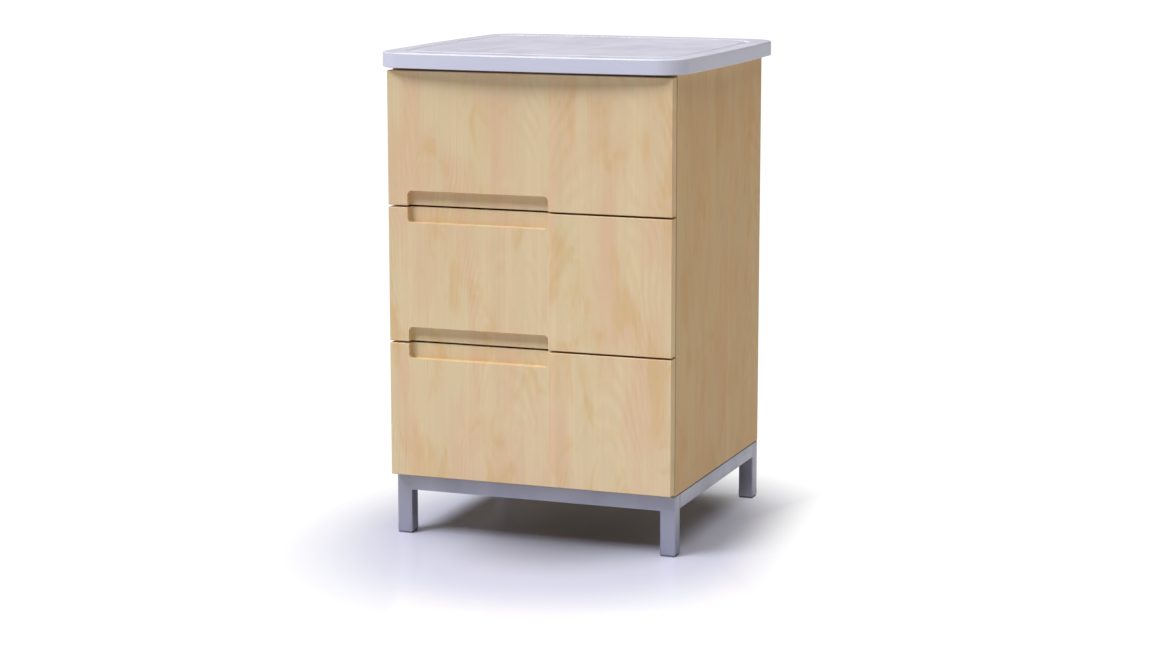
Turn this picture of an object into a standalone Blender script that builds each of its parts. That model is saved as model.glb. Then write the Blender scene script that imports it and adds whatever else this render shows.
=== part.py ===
"""Three-drawer bedside cabinet on a square-tube base, in metres, +Z up.

The origin is the middle of the cabinet's footprint at floor level. The drawers
face -Y and slide out along -Y. The pieces of each drawer, and the intermediate
slide members that follow it, hang under an empty on the drawer's sliding axis.
"""
import math

import bmesh
import bpy
from mathutils import Matrix, Vector

# ---------------------------------------------------------------- driving dimensions
OBJECT_NAME = "bedside_cabinet"
GAP = 0.0003              # clearance between pieces that touch
SIDES = {"left": -1, "right": 1}

# Worktop
TOP_WIDTH = 0.515         # across the widest point of the bowed sides
TOP_DEPTH = 0.5335        # between the crowns of the bowed front and rear edges
TOP_UNDERSIDE = 0.750
TOP_SURFACE = 0.774
TOP_END_BOW = 0.0113      # how far the front and rear edges fall back at their ends
TOP_SIDE_BOW = 0.008      # how far the sides draw in at their ends
TOP_CORNER_RADIUS = 0.035
TOP_EDGE_RADIUS = 0.003
TOP_BOW_STEPS = 12        # straight pieces in each bowed edge
GROOVE_IN_SIDES = 0.025   # from the sides in to the drip groove
GROOVE_IN_ENDS = 0.038    # from the front and rear edges in to the drip groove
GROOVE_WIDTH = 0.012
GROOVE_WALL = 0.003       # width of each of the groove's sloping walls
GROOVE_DROP = 0.0012      # depth of the groove

# Carcass
BODY_WIDTH = 0.470
BODY_DEPTH = 0.444
BOARD = 0.018
CARCASS_UNDERSIDE = 0.0973
BACK_THICKNESS = 0.006
BACK_INSET = 0.010        # from the rear edge of the sides to the back panel
GROOVE_DEPTH = 0.006
FRONT_TOP_RAIL = 0.080    # depth of the front top rail
REAR_TOP_RAIL = 0.060
BOARD_EASE = 0.0006       # edge rounding of the boards

# Drawer fronts
FRONT_THICKNESS = 0.0195
FRONT_OFFSET = 0.0031     # buffer gap between a drawer front and the carcass
FRONT_SETBACK = 0.0215    # from the worktop's crown back to the drawer fronts
FRONTS_BOTTOM = 0.101
LOWER_GAP = 0.3165        # height of the middle of the lower gap
UPPER_GAP = 0.533
FRONTS_TOP = 0.7455
FRONT_GAP = 0.003
FRONT_EASE = 0.0012       # edge rounding of the slab fronts

# Finger-pull recesses, one across each gap
PULL_LEFT = -0.202
PULL_RIGHT = 0.0335
PULL_ABOVE = 0.025        # from the middle of the gap
PULL_BELOW = 0.0255
PULL_DEPTH = 0.0125
PULL_RADIUS = 0.007

# Drawer boxes
BOX_BOARD = 0.012
BOX_LENGTH = 0.400
BOX_HEIGHT = 0.150
BOX_RISE = 0.025          # from a front's lower edge to its box
BOX_BOTTOM_BOARD = 0.004
BOX_BOTTOM_RISE = 0.010   # from a box's lower edge to its bottom panel
BOX_GROOVE_DEPTH = 0.005

# Slides
SLIDE_SPACE = 0.0127      # between a drawer box and the side panel
SLIDE_LENGTH = 0.396
SLIDE_SHEET = 0.0012
SLIDE_RISE = 0.100        # from a front's lower edge to the slide's centre line
# each member: distance of its web from the side panel, reach of its flanges,
# half its height
OUTER_MEMBER = (0.0003, 0.0095, 0.0225)
MIDDLE_MEMBER = (0.0030, 0.0108, 0.0180)
INNER_MEMBER = (0.0124, 0.0060, 0.0135)

# Base
TUBE = 0.025
TUBE_WALL = 0.0015
TUBE_ROUND = 0.0012       # outer edge rounding, less than the wall
GLIDE_HEIGHT = 0.002
GLIDE_WIDTH = 0.024
GLIDE_PLUG = 0.012
PLATE_LEG = 0.046         # length of a corner plate's two edges along the tubes
PLATE_THICKNESS = 0.003
PLATE_OVERLAP = 0.0007    # how far a plate's welded edge goes into the tube wall
PLATE_HOLE = 0.014        # from the inner corner of the tubes to the screw, each way
SCREW_HOLE = 0.0026       # radii
SCREW_SHANK = 0.0020
SCREW_HEAD = 0.0045
SCREW_HEAD_HEIGHT = 0.0026
SCREW_REACH = 0.012       # how far a screw goes into the bottom panel

# ---------------------------------------------------------------- worked-out places
FRONT_FACE = -TOP_DEPTH / 2 + FRONT_SETBACK
CARCASS_FRONT = FRONT_FACE + FRONT_THICKNESS + FRONT_OFFSET
CARCASS_REAR = CARCASS_FRONT + BODY_DEPTH
CARCASS_TOP = TOP_UNDERSIDE - GAP
BODY_HALF = BODY_WIDTH / 2
INNER_HALF = BODY_HALF - BOARD
BACK_REAR = CARCASS_REAR - BACK_INSET
BACK_FRONT = BACK_REAR - BACK_THICKNESS
BOX_HALF = INNER_HALF - SLIDE_SPACE
BOX_FRONT = FRONT_FACE + FRONT_THICKNESS + GAP
BOX_REAR = BOX_FRONT + BOX_LENGTH
SLIDE_FRONT = CARCASS_FRONT + 0.002
SLIDE_REAR = SLIDE_FRONT + SLIDE_LENGTH
LEG_CENTRE = BODY_HALF - TUBE / 2
FRAME_TOP = CARCASS_UNDERSIDE - GAP
FRAME_RAIL_UNDERSIDE = FRAME_TOP - TUBE
# each drawer: the heights of its front's lower and upper edges
DRAWERS = {
    "bottom": (FRONTS_BOTTOM, LOWER_GAP - FRONT_GAP / 2),
    "middle": (LOWER_GAP + FRONT_GAP / 2, UPPER_GAP - FRONT_GAP / 2),
    "top": (UPPER_GAP + FRONT_GAP / 2, FRONTS_TOP),
}
PULL_GAPS = {"bottom": ["lower"], "middle": ["lower", "upper"], "top": ["upper"]}

# finish: base colour, roughness, metallic
FINISHES = {
    "maple_laminate": ((0.62, 0.49, 0.31), 0.45, 0.0),
    "worktop_laminate": ((0.66, 0.65, 0.71), 0.35, 0.0),
    "base_paint": ((0.30, 0.30, 0.38), 0.45, 0.3),
    "slide_steel": ((0.60, 0.61, 0.63), 0.35, 1.0),
    "box_board": ((0.72, 0.66, 0.54), 0.5, 0.0),
    "back_board": ((0.60, 0.50, 0.36), 0.6, 0.0),
    "glide_plastic": ((0.03, 0.03, 0.035), 0.5, 0.0),
    "screw_steel": ((0.55, 0.55, 0.57), 0.4, 1.0),
}


# ---------------------------------------------------------------- scene and helpers
def start_scene():
    """Empty the scene, and make the collections for the parts and the cutters."""
    for old in list(bpy.data.objects):
        bpy.data.objects.remove(old, do_unlink=True)
    collections = []
    for name in (OBJECT_NAME, "cutters"):
        collection = bpy.data.collections.new(name)
        bpy.context.scene.collection.children.link(collection)
        collections.append(collection)
    return collections


def make_finishes():
    """Make one Principled material for each finish."""
    finishes = {}
    for name, (colour, roughness, metallic) in FINISHES.items():
        material = bpy.data.materials.new(name)
        material.use_nodes = True
        shader = material.node_tree.nodes["Principled BSDF"]
        shader.inputs["Base Color"].default_value = (*colour, 1.0)
        shader.inputs["Roughness"].default_value = roughness
        shader.inputs["Metallic"].default_value = metallic
        finishes[name] = material
    return finishes


PARTS, CUTTERS = start_scene()
FINISH = make_finishes()


def add_object(name, mesh, finish):
    """Put a mesh in the parts collection as a named object."""
    part = bpy.data.objects.new(name, mesh)
    mesh.materials.append(FINISH[finish])
    PARTS.objects.link(part)
    return part


def box(name, low, high, finish, ease=0.0):
    """A block between two corners, its origin at its middle."""
    low = Vector(low)
    high = Vector(high)
    shape = bmesh.new()
    bmesh.ops.create_cube(shape, size=1.0)
    bmesh.ops.scale(shape, vec=high - low, verts=shape.verts)
    mesh = bpy.data.meshes.new(name)
    shape.to_mesh(mesh)
    shape.free()
    part = add_object(name, mesh, finish)
    part.location = (low + high) / 2
    if ease:
        round_edges(part, ease, 1)
    return part


def prism(name, outline, along, start, end, finish, ease=0.0):
    """A closed outline of (u, v) points, extruded from start to end.

    along "X" reads the outline as (Y, Z), "Y" as (X, Z) and "Z" as (X, Y).
    """
    turns = {
        "X": Matrix(((0, 0, 1), (1, 0, 0), (0, 1, 0))),
        "Y": Matrix(((1, 0, 0), (0, 0, -1), (0, 1, 0))),
        "Z": Matrix.Identity(3),
    }
    place = Vector((0.0, 0.0, 0.0))
    place["XYZ".index(along)] = (start + end) / 2
    curve = bpy.data.curves.new(name, "CURVE")
    curve.dimensions = "2D"
    curve.fill_mode = "BOTH"
    curve.extrude = (end - start) / 2
    spline = curve.splines.new("POLY")
    spline.points.add(len(outline) - 1)
    for point, (u, v) in zip(spline.points, outline):
        point.co = (u, v, 0.0, 1.0)
    spline.use_cyclic_u = True
    flat = bpy.data.objects.new(name + "_outline", curve)
    flat.matrix_world = Matrix.Translation(place) @ turns[along].to_4x4()
    PARTS.objects.link(flat)
    bpy.context.view_layer.update()
    depsgraph = bpy.context.evaluated_depsgraph_get()
    mesh = bpy.data.meshes.new_from_object(flat.evaluated_get(depsgraph))
    placed = flat.matrix_world.copy()
    bpy.data.objects.remove(flat, do_unlink=True)
    mesh.materials.clear()
    mesh.name = name
    shape = bmesh.new()
    shape.from_mesh(mesh)
    bmesh.ops.remove_doubles(shape, verts=shape.verts, dist=0.00002)
    bmesh.ops.dissolve_limit(shape, angle_limit=0.01, verts=shape.verts, edges=shape.edges)
    bmesh.ops.recalc_face_normals(shape, faces=shape.faces)
    shape.to_mesh(mesh)
    shape.free()
    part = add_object(name, mesh, finish)
    part.matrix_world = placed
    if ease:
        round_edges(part, ease, 1)
    return part


def round_edges(part, radius, segments):
    """Round every sharp edge of a piece with a Bevel modifier."""
    bevel = part.modifiers.new("round_edges", "BEVEL")
    bevel.width = radius
    bevel.segments = segments
    bevel.limit_method = "ANGLE"
    bevel.angle_limit = math.radians(40)
    return bevel


def make_cutter(part):
    """Take a shape out of the build, to be used by Boolean modifiers only."""
    PARTS.objects.unlink(part)
    CUTTERS.objects.link(part)
    part.hide_render = True
    part.display_type = "WIRE"
    return part


def combine(part, other, operation):
    """Add a Boolean modifier that cuts or joins a shape."""
    boolean = part.modifiers.new(other.name, "BOOLEAN")
    boolean.operation = operation
    boolean.object = other
    boolean.solver = "EXACT"
    return boolean


def cylinder(name, radius, low, high, centre, finish, sides=16):
    """An upright cylinder between two heights, centred on (x, y)."""
    shape = bmesh.new()
    bmesh.ops.create_cone(shape, cap_ends=True, segments=sides, radius1=radius,
                          radius2=radius, depth=high - low)
    mesh = bpy.data.meshes.new(name)
    shape.to_mesh(mesh)
    shape.free()
    part = add_object(name, mesh, finish)
    part.location = (*centre, (low + high) / 2)
    return part


def rounded_rectangle(left, right, low, high, radius, steps=4):
    """The outline of a rectangle with round corners, anticlockwise."""
    corners = [(right - radius, low + radius, -90), (right - radius, high - radius, 0),
               (left + radius, high - radius, 90), (left + radius, low + radius, 180)]
    outline = []
    for u, v, first in corners:
        for step in range(steps + 1):
            angle = math.radians(first + 90 * step / steps)
            outline.append((u + radius * math.cos(angle), v + radius * math.sin(angle)))
    return outline


def hang_under(empty, parts):
    """Parent pieces to an empty, and leave them where they are."""
    bpy.context.view_layer.update()
    for part in parts:
        part.parent = empty
        part.matrix_parent_inverse = empty.matrix_world.inverted()


def axis_empty(name, height):
    """An empty on a drawer's sliding axis, at the drawer front's face."""
    empty = bpy.data.objects.new(name, None)
    empty.location = (0.0, FRONT_FACE, height)
    empty.empty_display_size = 0.05
    PARTS.objects.link(empty)
    return empty


# ---------------------------------------------------------------- worktop
def side_reach(y):
    """Half the worktop's width at a depth."""
    return TOP_WIDTH / 2 - TOP_SIDE_BOW * (2 * y / TOP_DEPTH) ** 2


def end_reach(x):
    """Half the worktop's depth at a distance from its middle."""
    return TOP_DEPTH / 2 - TOP_END_BOW * (2 * x / TOP_WIDTH) ** 2


def worktop_outline():
    """The four bowed edges, anticlockwise from the front left corner.

    Each edge gives its first corner and its inner points, but not its last corner.
    """
    corner_x = side_reach(TOP_DEPTH / 2)
    corner_y = end_reach(corner_x)
    outline = []
    shares = [2 * step / TOP_BOW_STEPS - 1 for step in range(TOP_BOW_STEPS)]
    outline += [(share * corner_x, -end_reach(share * corner_x)) for share in shares]
    outline += [(side_reach(share * corner_y), share * corner_y) for share in shares]
    return outline + [(-x, -y) for x, y in outline]


def inner_ring(shape, face, side_inset, end_inset, height):
    """Inset a face, and set the new ring at a distance from the edges and a height."""
    bmesh.ops.inset_region(shape, faces=[face], thickness=TOP_EDGE_RADIUS)
    ring = face.verts[:]
    wide = max(vert.co.x for vert in ring)
    deep = max(vert.co.y for vert in ring)
    across = (TOP_WIDTH / 2 - side_inset) / wide
    along = (TOP_DEPTH / 2 - end_inset) / deep
    for vert in ring:
        vert.co = (vert.co.x * across, vert.co.y * along, height)


def build_worktop():
    """The bowed worktop, with a shallow drip groove inside its edge."""
    shape = bmesh.new()
    outline = [shape.verts.new((x, y, TOP_UNDERSIDE)) for x, y in worktop_outline()]
    shape.faces.new(outline)
    # on a square corner, a vertex bevel's offset is the corner's radius
    bmesh.ops.bevel(shape, geom=outline[::TOP_BOW_STEPS], offset=TOP_CORNER_RADIUS,
                    segments=7, profile=0.5, affect="VERTICES")
    lower = shape.faces[:][0]
    raised = bmesh.ops.extrude_face_region(shape, geom=[lower])["geom"]
    upper_verts = [item for item in raised if isinstance(item, bmesh.types.BMVert)]
    upper = [item for item in raised if isinstance(item, bmesh.types.BMFace)][0]
    bmesh.ops.translate(shape, verts=upper_verts, vec=(0, 0, TOP_SURFACE - TOP_UNDERSIDE))
    bmesh.ops.recalc_face_normals(shape, faces=shape.faces)
    bmesh.ops.bevel(shape, geom=list(upper.edges), offset=TOP_EDGE_RADIUS, segments=3,
                    profile=0.5, affect="EDGES")
    field = max((face for face in shape.faces if face.calc_center_median().z > TOP_UNDERSIDE),
                key=lambda face: face.calc_area())
    floor = TOP_SURFACE - GROOVE_DROP
    rings = ((0.0, TOP_SURFACE), (GROOVE_WALL, floor), (GROOVE_WIDTH - GROOVE_WALL, floor),
             (GROOVE_WIDTH, TOP_SURFACE))
    for further, height in rings:
        inner_ring(shape, field, GROOVE_IN_SIDES + further, GROOVE_IN_ENDS + further, height)
    bmesh.ops.recalc_face_normals(shape, faces=shape.faces)
    mesh = bpy.data.meshes.new("worktop")
    shape.to_mesh(mesh)
    shape.free()
    mesh.shade_smooth()
    mesh.set_sharp_from_angle(angle=math.radians(35))
    return add_object("worktop", mesh, "worktop_laminate")


# ---------------------------------------------------------------- carcass
def build_side_panel(side_name, side):
    """A side panel with a through groove for the back panel."""
    outer = side * BODY_HALF
    inner = side * INNER_HALF
    floor = side * (INNER_HALF + GROOVE_DEPTH)
    outline = [
        (outer, CARCASS_FRONT),
        (inner, CARCASS_FRONT),
        (inner, BACK_FRONT - GAP),
        (floor, BACK_FRONT - GAP),
        (floor, BACK_REAR + GAP),
        (inner, BACK_REAR + GAP),
        (inner, CARCASS_REAR),
        (outer, CARCASS_REAR),
    ]
    return prism(f"side_panel_{side_name}", outline, "Z", CARCASS_UNDERSIDE, CARCASS_TOP,
                 "maple_laminate", BOARD_EASE)


def screw_places():
    """Name and (x, y) of each screw that holds the carcass to the base."""
    places = {}
    across = LEG_CENTRE - TUBE / 2 - PLATE_HOLE
    for side_name, side in SIDES.items():
        places[f"front_{side_name}"] = (side * across, CARCASS_FRONT + TUBE + PLATE_HOLE)
        places[f"rear_{side_name}"] = (side * across, CARCASS_REAR - TUBE - PLATE_HOLE)
    return places


def build_carcass():
    """Side panels, bottom panel, two top rails and the back panel."""
    for side_name, side in SIDES.items():
        build_side_panel(side_name, side)
    half = INNER_HALF - GAP
    bottom = box("bottom_panel", (-half, CARCASS_FRONT, CARCASS_UNDERSIDE),
                 (half, BACK_FRONT - GAP, CARCASS_UNDERSIDE + BOARD), "maple_laminate",
                 BOARD_EASE)
    for place_name, centre in screw_places().items():
        hole = cylinder(f"pilot_hole_{place_name}", SCREW_SHANK + GAP,
                        CARCASS_UNDERSIDE - BOARD, CARCASS_UNDERSIDE + SCREW_REACH + GAP,
                        centre, "maple_laminate", 12)
        combine(bottom, make_cutter(hole), "DIFFERENCE")
    box("top_rail_front", (-half, CARCASS_FRONT, CARCASS_TOP - BOARD),
        (half, CARCASS_FRONT + FRONT_TOP_RAIL, CARCASS_TOP), "maple_laminate", BOARD_EASE)
    box("top_rail_rear", (-half, BACK_FRONT - GAP - REAR_TOP_RAIL, CARCASS_TOP - BOARD),
        (half, BACK_FRONT - GAP, CARCASS_TOP), "maple_laminate", BOARD_EASE)
    back_half = INNER_HALF + GROOVE_DEPTH - GAP
    box("back_panel", (-back_half, BACK_FRONT, CARCASS_UNDERSIDE + GAP),
        (back_half, BACK_REAR, CARCASS_TOP - GAP), "back_board")


# ---------------------------------------------------------------- base
def frame_outline(half, top, underside, foot):
    """The outline of an upside-down U of tube, as (X, Z) points."""
    inner = BODY_WIDTH - half - TUBE
    return [(-half, foot), (-half, top), (half, top), (half, foot),
            (inner, foot), (inner, underside), (-inner, underside), (-inner, foot)]


def build_frame(end_name, near, inward):
    """One U frame of hollow square tube, with a corner plate at each top corner.

    near is the Y of the frame's lower-Y face, and inward is +1 where the middle of the
    cabinet lies towards +Y and -1 where it lies towards -Y.
    """
    far = near + TUBE
    frame = prism(f"base_frame_{end_name}",
                  frame_outline(BODY_HALF, FRAME_TOP, FRAME_RAIL_UNDERSIDE, GLIDE_HEIGHT),
                  "Y", near, far, "base_paint")
    round_edges(frame, TUBE_ROUND, 2)
    bore = prism(f"tube_bore_{end_name}",
                 frame_outline(BODY_HALF - TUBE_WALL, FRAME_TOP - TUBE_WALL,
                               FRAME_RAIL_UNDERSIDE + TUBE_WALL, -TUBE),
                 "Y", near + TUBE_WALL, far - TUBE_WALL, "base_paint")
    combine(frame, make_cutter(bore), "DIFFERENCE")
    face = far if inward > 0 else near
    corner_x = LEG_CENTRE - TUBE / 2 - GAP
    for side_name, side in SIDES.items():
        weld = face - inward * PLATE_OVERLAP
        outline = [
            (side * corner_x, weld),
            (side * corner_x, face + inward * PLATE_LEG),
            (side * (corner_x - TUBE / 4), face + inward * PLATE_LEG),
            (side * (corner_x - PLATE_LEG), face + inward * TUBE / 4),
            (side * (corner_x - PLATE_LEG), weld),
        ]
        plate = prism(f"corner_plate_{end_name}_{side_name}", outline, "Z",
                      FRAME_TOP - TUBE_ROUND - PLATE_THICKNESS, FRAME_TOP - TUBE_ROUND,
                      "base_paint")
        combine(frame, make_cutter(plate), "UNION")
        centre = screw_places()[f"{end_name}_{side_name}"]
        hole = cylinder(f"screw_hole_{end_name}_{side_name}", SCREW_HOLE,
                        FRAME_RAIL_UNDERSIDE, FRAME_TOP + BOARD, centre, "base_paint", 12)
        combine(frame, make_cutter(hole), "DIFFERENCE")
    return frame


def build_side_rail(side_name, side):
    """A hollow side rail between the two U frames, open at both ends."""
    near = CARCASS_FRONT + TUBE + GAP
    far = CARCASS_REAR - TUBE - GAP
    middle = side * LEG_CENTRE
    height = FRAME_TOP - TUBE / 2
    rail = box(f"base_side_rail_{side_name}",
               (middle - TUBE / 2, near, height - TUBE / 2),
               (middle + TUBE / 2, far, height + TUBE / 2), "base_paint")
    round_edges(rail, TUBE_ROUND, 2)
    hollow = TUBE / 2 - TUBE_WALL
    bore = box(f"side_rail_bore_{side_name}", (middle - hollow, near - TUBE, height - hollow),
               (middle + hollow, far + TUBE, height + hollow), "base_paint")
    combine(rail, make_cutter(bore), "DIFFERENCE")


def build_glide(name, x, y):
    """A leg glide: a square foot with a plug that goes up the tube."""
    shape = bmesh.new()
    bmesh.ops.create_cube(shape, size=1.0)
    bmesh.ops.scale(shape, vec=(GLIDE_WIDTH, GLIDE_WIDTH, GLIDE_HEIGHT - GAP), verts=shape.verts)
    upper = max(shape.faces, key=lambda face: face.calc_center_median().z)
    plug_half = TUBE / 2 - TUBE_WALL - GAP
    bmesh.ops.inset_region(shape, faces=[upper], thickness=GLIDE_WIDTH / 2 - plug_half,
                           use_even_offset=True)
    raised = bmesh.ops.extrude_face_region(shape, geom=[upper])["geom"]
    bmesh.ops.translate(shape, vec=(0, 0, GLIDE_PLUG),
                        verts=[item for item in raised if isinstance(item, bmesh.types.BMVert)])
    bmesh.ops.delete(shape, geom=[upper], context="FACES_ONLY")
    mesh = bpy.data.meshes.new(name)
    shape.to_mesh(mesh)
    shape.free()
    glide = add_object(name, mesh, "glide_plastic")
    glide.location = (x, y, (GLIDE_HEIGHT - GAP) / 2)


def build_screw(name, centre):
    """A pan-head screw from under a corner plate up into the bottom panel."""
    seat = FRAME_TOP - TUBE_ROUND - PLATE_THICKNESS - GAP
    tip = CARCASS_UNDERSIDE + SCREW_REACH
    profile = [(0, tip), (SCREW_SHANK, tip - SCREW_SHANK), (SCREW_SHANK, seat),
               (SCREW_HEAD, seat), (SCREW_HEAD, seat - SCREW_HEAD_HEIGHT / 2),
               (SCREW_HEAD * 0.7, seat - SCREW_HEAD_HEIGHT), (0, seat - SCREW_HEAD_HEIGHT)]
    shape = bmesh.new()
    points = [shape.verts.new((radius, 0, height)) for radius, height in profile]
    for first, second in zip(points, points[1:]):
        shape.edges.new((first, second))
    mesh = bpy.data.meshes.new(name)
    shape.to_mesh(mesh)
    shape.free()
    screw = add_object(name, mesh, "screw_steel")
    screw.location = (*centre, 0)
    turn = screw.modifiers.new("turn", "SCREW")
    turn.steps = 16
    turn.render_steps = 16
    turn.use_merge_vertices = True
    turn.merge_threshold = 0.0001


def build_base():
    """Two U frames, two side rails, four screws and four glides."""
    build_frame("front", CARCASS_FRONT, 1)
    build_frame("rear", CARCASS_REAR - TUBE, -1)
    for side_name, side in SIDES.items():
        build_side_rail(side_name, side)
        x = side * LEG_CENTRE
        build_glide(f"glide_front_{side_name}", x, CARCASS_FRONT + TUBE / 2)
        build_glide(f"glide_rear_{side_name}", x, CARCASS_REAR - TUBE / 2)
    for place_name, centre in screw_places().items():
        build_screw(f"base_screw_{place_name}", centre)


# ---------------------------------------------------------------- drawers
def build_pull_cutters():
    """The shape of each finger-pull recess, shared by the fronts it cuts."""
    cutters = {}
    for name, gap in (("lower", LOWER_GAP), ("upper", UPPER_GAP)):
        outline = rounded_rectangle(PULL_LEFT, PULL_RIGHT, gap - PULL_BELOW, gap + PULL_ABOVE,
                                    PULL_RADIUS)
        cutter = prism(f"finger_pull_{name}", outline, "Y", FRONT_FACE - PULL_DEPTH,
                       FRONT_FACE + PULL_DEPTH, "maple_laminate")
        cutters[name] = make_cutter(cutter)
    return cutters


def channel_outline(side, height, member):
    """The C section of a slide member, as (X, Z) points."""
    web, reach, half = member
    inward = 1 if reach > web else -1
    sheet = SLIDE_SHEET * inward
    points = [(web, -half), (reach, -half), (reach, SLIDE_SHEET - half),
              (web + sheet, SLIDE_SHEET - half), (web + sheet, half - SLIDE_SHEET),
              (reach, half - SLIDE_SHEET), (reach, half), (web, half)]
    return [(side * (INNER_HALF - away), height + rise) for away, rise in points]


def build_box(name, bottom):
    """The five boards of a drawer box, whose lower edge is at the given height."""
    top = bottom + BOX_HEIGHT
    slot_low = bottom + BOX_BOTTOM_RISE
    slot_high = slot_low + BOX_BOTTOM_BOARD + 2 * GAP
    boards = []
    for side_name, side in SIDES.items():
        outer = side * BOX_HALF
        inner = side * (BOX_HALF - BOX_BOARD)
        floor = side * (BOX_HALF - BOX_BOARD + BOX_GROOVE_DEPTH)
        outline = [(outer, bottom), (outer, top), (inner, top), (inner, slot_high),
                   (floor, slot_high), (floor, slot_low), (inner, slot_low), (inner, bottom)]
        boards.append(prism(f"{name}_box_side_{side_name}", outline, "Y", BOX_FRONT, BOX_REAR,
                            "box_board", BOARD_EASE))
    half = BOX_HALF - BOX_BOARD - GAP
    inner_y = BOX_FRONT + BOX_BOARD
    floor_y = inner_y - BOX_GROOVE_DEPTH
    outline = [(BOX_FRONT, bottom), (inner_y, bottom), (inner_y, slot_low), (floor_y, slot_low),
               (floor_y, slot_high), (inner_y, slot_high), (inner_y, top), (BOX_FRONT, top)]
    boards.append(prism(f"{name}_box_front", outline, "X", -half, half, "box_board",
                        BOARD_EASE))
    boards.append(box(f"{name}_box_back", (-half, BOX_REAR - BOX_BOARD, slot_high),
                      (half, BOX_REAR, top), "box_board", BOARD_EASE))
    wide = BOX_HALF - BOX_BOARD + BOX_GROOVE_DEPTH - GAP
    boards.append(box(f"{name}_box_bottom", (-wide, floor_y + GAP, slot_low + GAP),
                      (wide, BOX_REAR, slot_low + GAP + BOX_BOTTOM_BOARD), "box_board"))
    return boards


def build_drawer(name, low, high, cutters):
    """A drawer front, its box and its three-member slides."""
    front = box(f"{name}_drawer_front", (-BODY_HALF, FRONT_FACE, low),
                (BODY_HALF, FRONT_FACE + FRONT_THICKNESS, high), "maple_laminate", FRONT_EASE)
    for gap_name in PULL_GAPS[name]:
        combine(front, cutters[gap_name], "DIFFERENCE")
    moving = [front] + build_box(name, low + BOX_RISE)
    following = []
    height = low + SLIDE_RISE
    members = (("outer", OUTER_MEMBER, None), ("middle", MIDDLE_MEMBER, following),
               ("inner", INNER_MEMBER, moving))
    for side_name, side in SIDES.items():
        for member_name, member, group in members:
            channel = prism(f"{name}_slide_{member_name}_{side_name}",
                            channel_outline(side, height, member), "Y", SLIDE_FRONT,
                            SLIDE_REAR, "slide_steel")
            if group is not None:
                group.append(channel)
    hang_under(axis_empty(f"{name}_drawer_axis", height), moving)
    hang_under(axis_empty(f"{name}_slide_axis", height), following)


def main():
    """Build the whole cabinet."""
    build_worktop()
    build_carcass()
    build_base()
    cutters = build_pull_cutters()
    for name, (low, high) in DRAWERS.items():
        build_drawer(name, low, high, cutters)


main()
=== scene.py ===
"""Three-drawer bedside cabinet in maple laminate, on a square-tube steel base.

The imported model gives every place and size. Each sub-assembly is a class that builds
its meshes with modelling operators, dresses them in a finish and rides them on their
body. Lengths are in metres, +Z is up, and the drawers face -Y.
"""
import logging
import math
from contextlib import contextmanager
from dataclasses import dataclass, replace
from enum import Enum
from typing import Callable, Iterator, Sequence

import bmesh
import bpy
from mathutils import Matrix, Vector


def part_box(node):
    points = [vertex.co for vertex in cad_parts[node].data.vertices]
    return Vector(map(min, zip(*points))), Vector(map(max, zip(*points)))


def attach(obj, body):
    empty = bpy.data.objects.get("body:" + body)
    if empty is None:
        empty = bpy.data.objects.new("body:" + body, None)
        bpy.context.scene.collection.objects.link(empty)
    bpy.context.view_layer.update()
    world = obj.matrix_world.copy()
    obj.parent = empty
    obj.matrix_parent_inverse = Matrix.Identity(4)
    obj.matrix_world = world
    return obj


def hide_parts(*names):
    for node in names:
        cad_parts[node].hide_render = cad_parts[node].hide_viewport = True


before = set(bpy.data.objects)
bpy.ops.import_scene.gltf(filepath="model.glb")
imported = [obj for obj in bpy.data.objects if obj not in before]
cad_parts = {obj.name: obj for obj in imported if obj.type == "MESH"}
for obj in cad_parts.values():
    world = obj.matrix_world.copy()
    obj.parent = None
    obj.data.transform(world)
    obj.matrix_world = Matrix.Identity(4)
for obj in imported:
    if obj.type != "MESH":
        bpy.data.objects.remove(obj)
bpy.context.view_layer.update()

LOG = logging.getLogger("bedside_cabinet")

Colour = tuple[float, float, float]
Span = tuple[float, float]
Triple = Sequence[float]
Piece = bpy.types.Object
Socket = bpy.types.NodeSocket

SIDES = {"left": -1, "right": 1}
ENDS = {"front": 1, "rear": -1}
DRAWERS = ("bottom", "middle", "top")
CARCASS = "carcass"
TOUCH = 1e-5
NEAR = 1e-4
FACING = 0.9


class Axis(Enum):
    """An axis of the cabinet, as the index of a coordinate."""

    X = 0
    Y = 1
    Z = 2


class Element(Enum):
    """What a selection is made of."""

    POINT = "VERT"
    EDGE = "EDGE"
    FACE = "FACE"


class Tint(Enum):
    """A colour of the wood's patches, as the name of its field."""

    AMBER = "amber"
    ROSY = "rosy"
    GREEN = "green"


class Member(Enum):
    """A member of a slide, as it is called in the names of its nodes."""

    OUTER = "outer"
    MIDDLE = "middle"
    INNER = "inner"


class Pull(Enum):
    """The edge of a drawer front that a finger pull is cut in, as its way along Z."""

    LOWER = -1
    UPPER = 1


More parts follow.
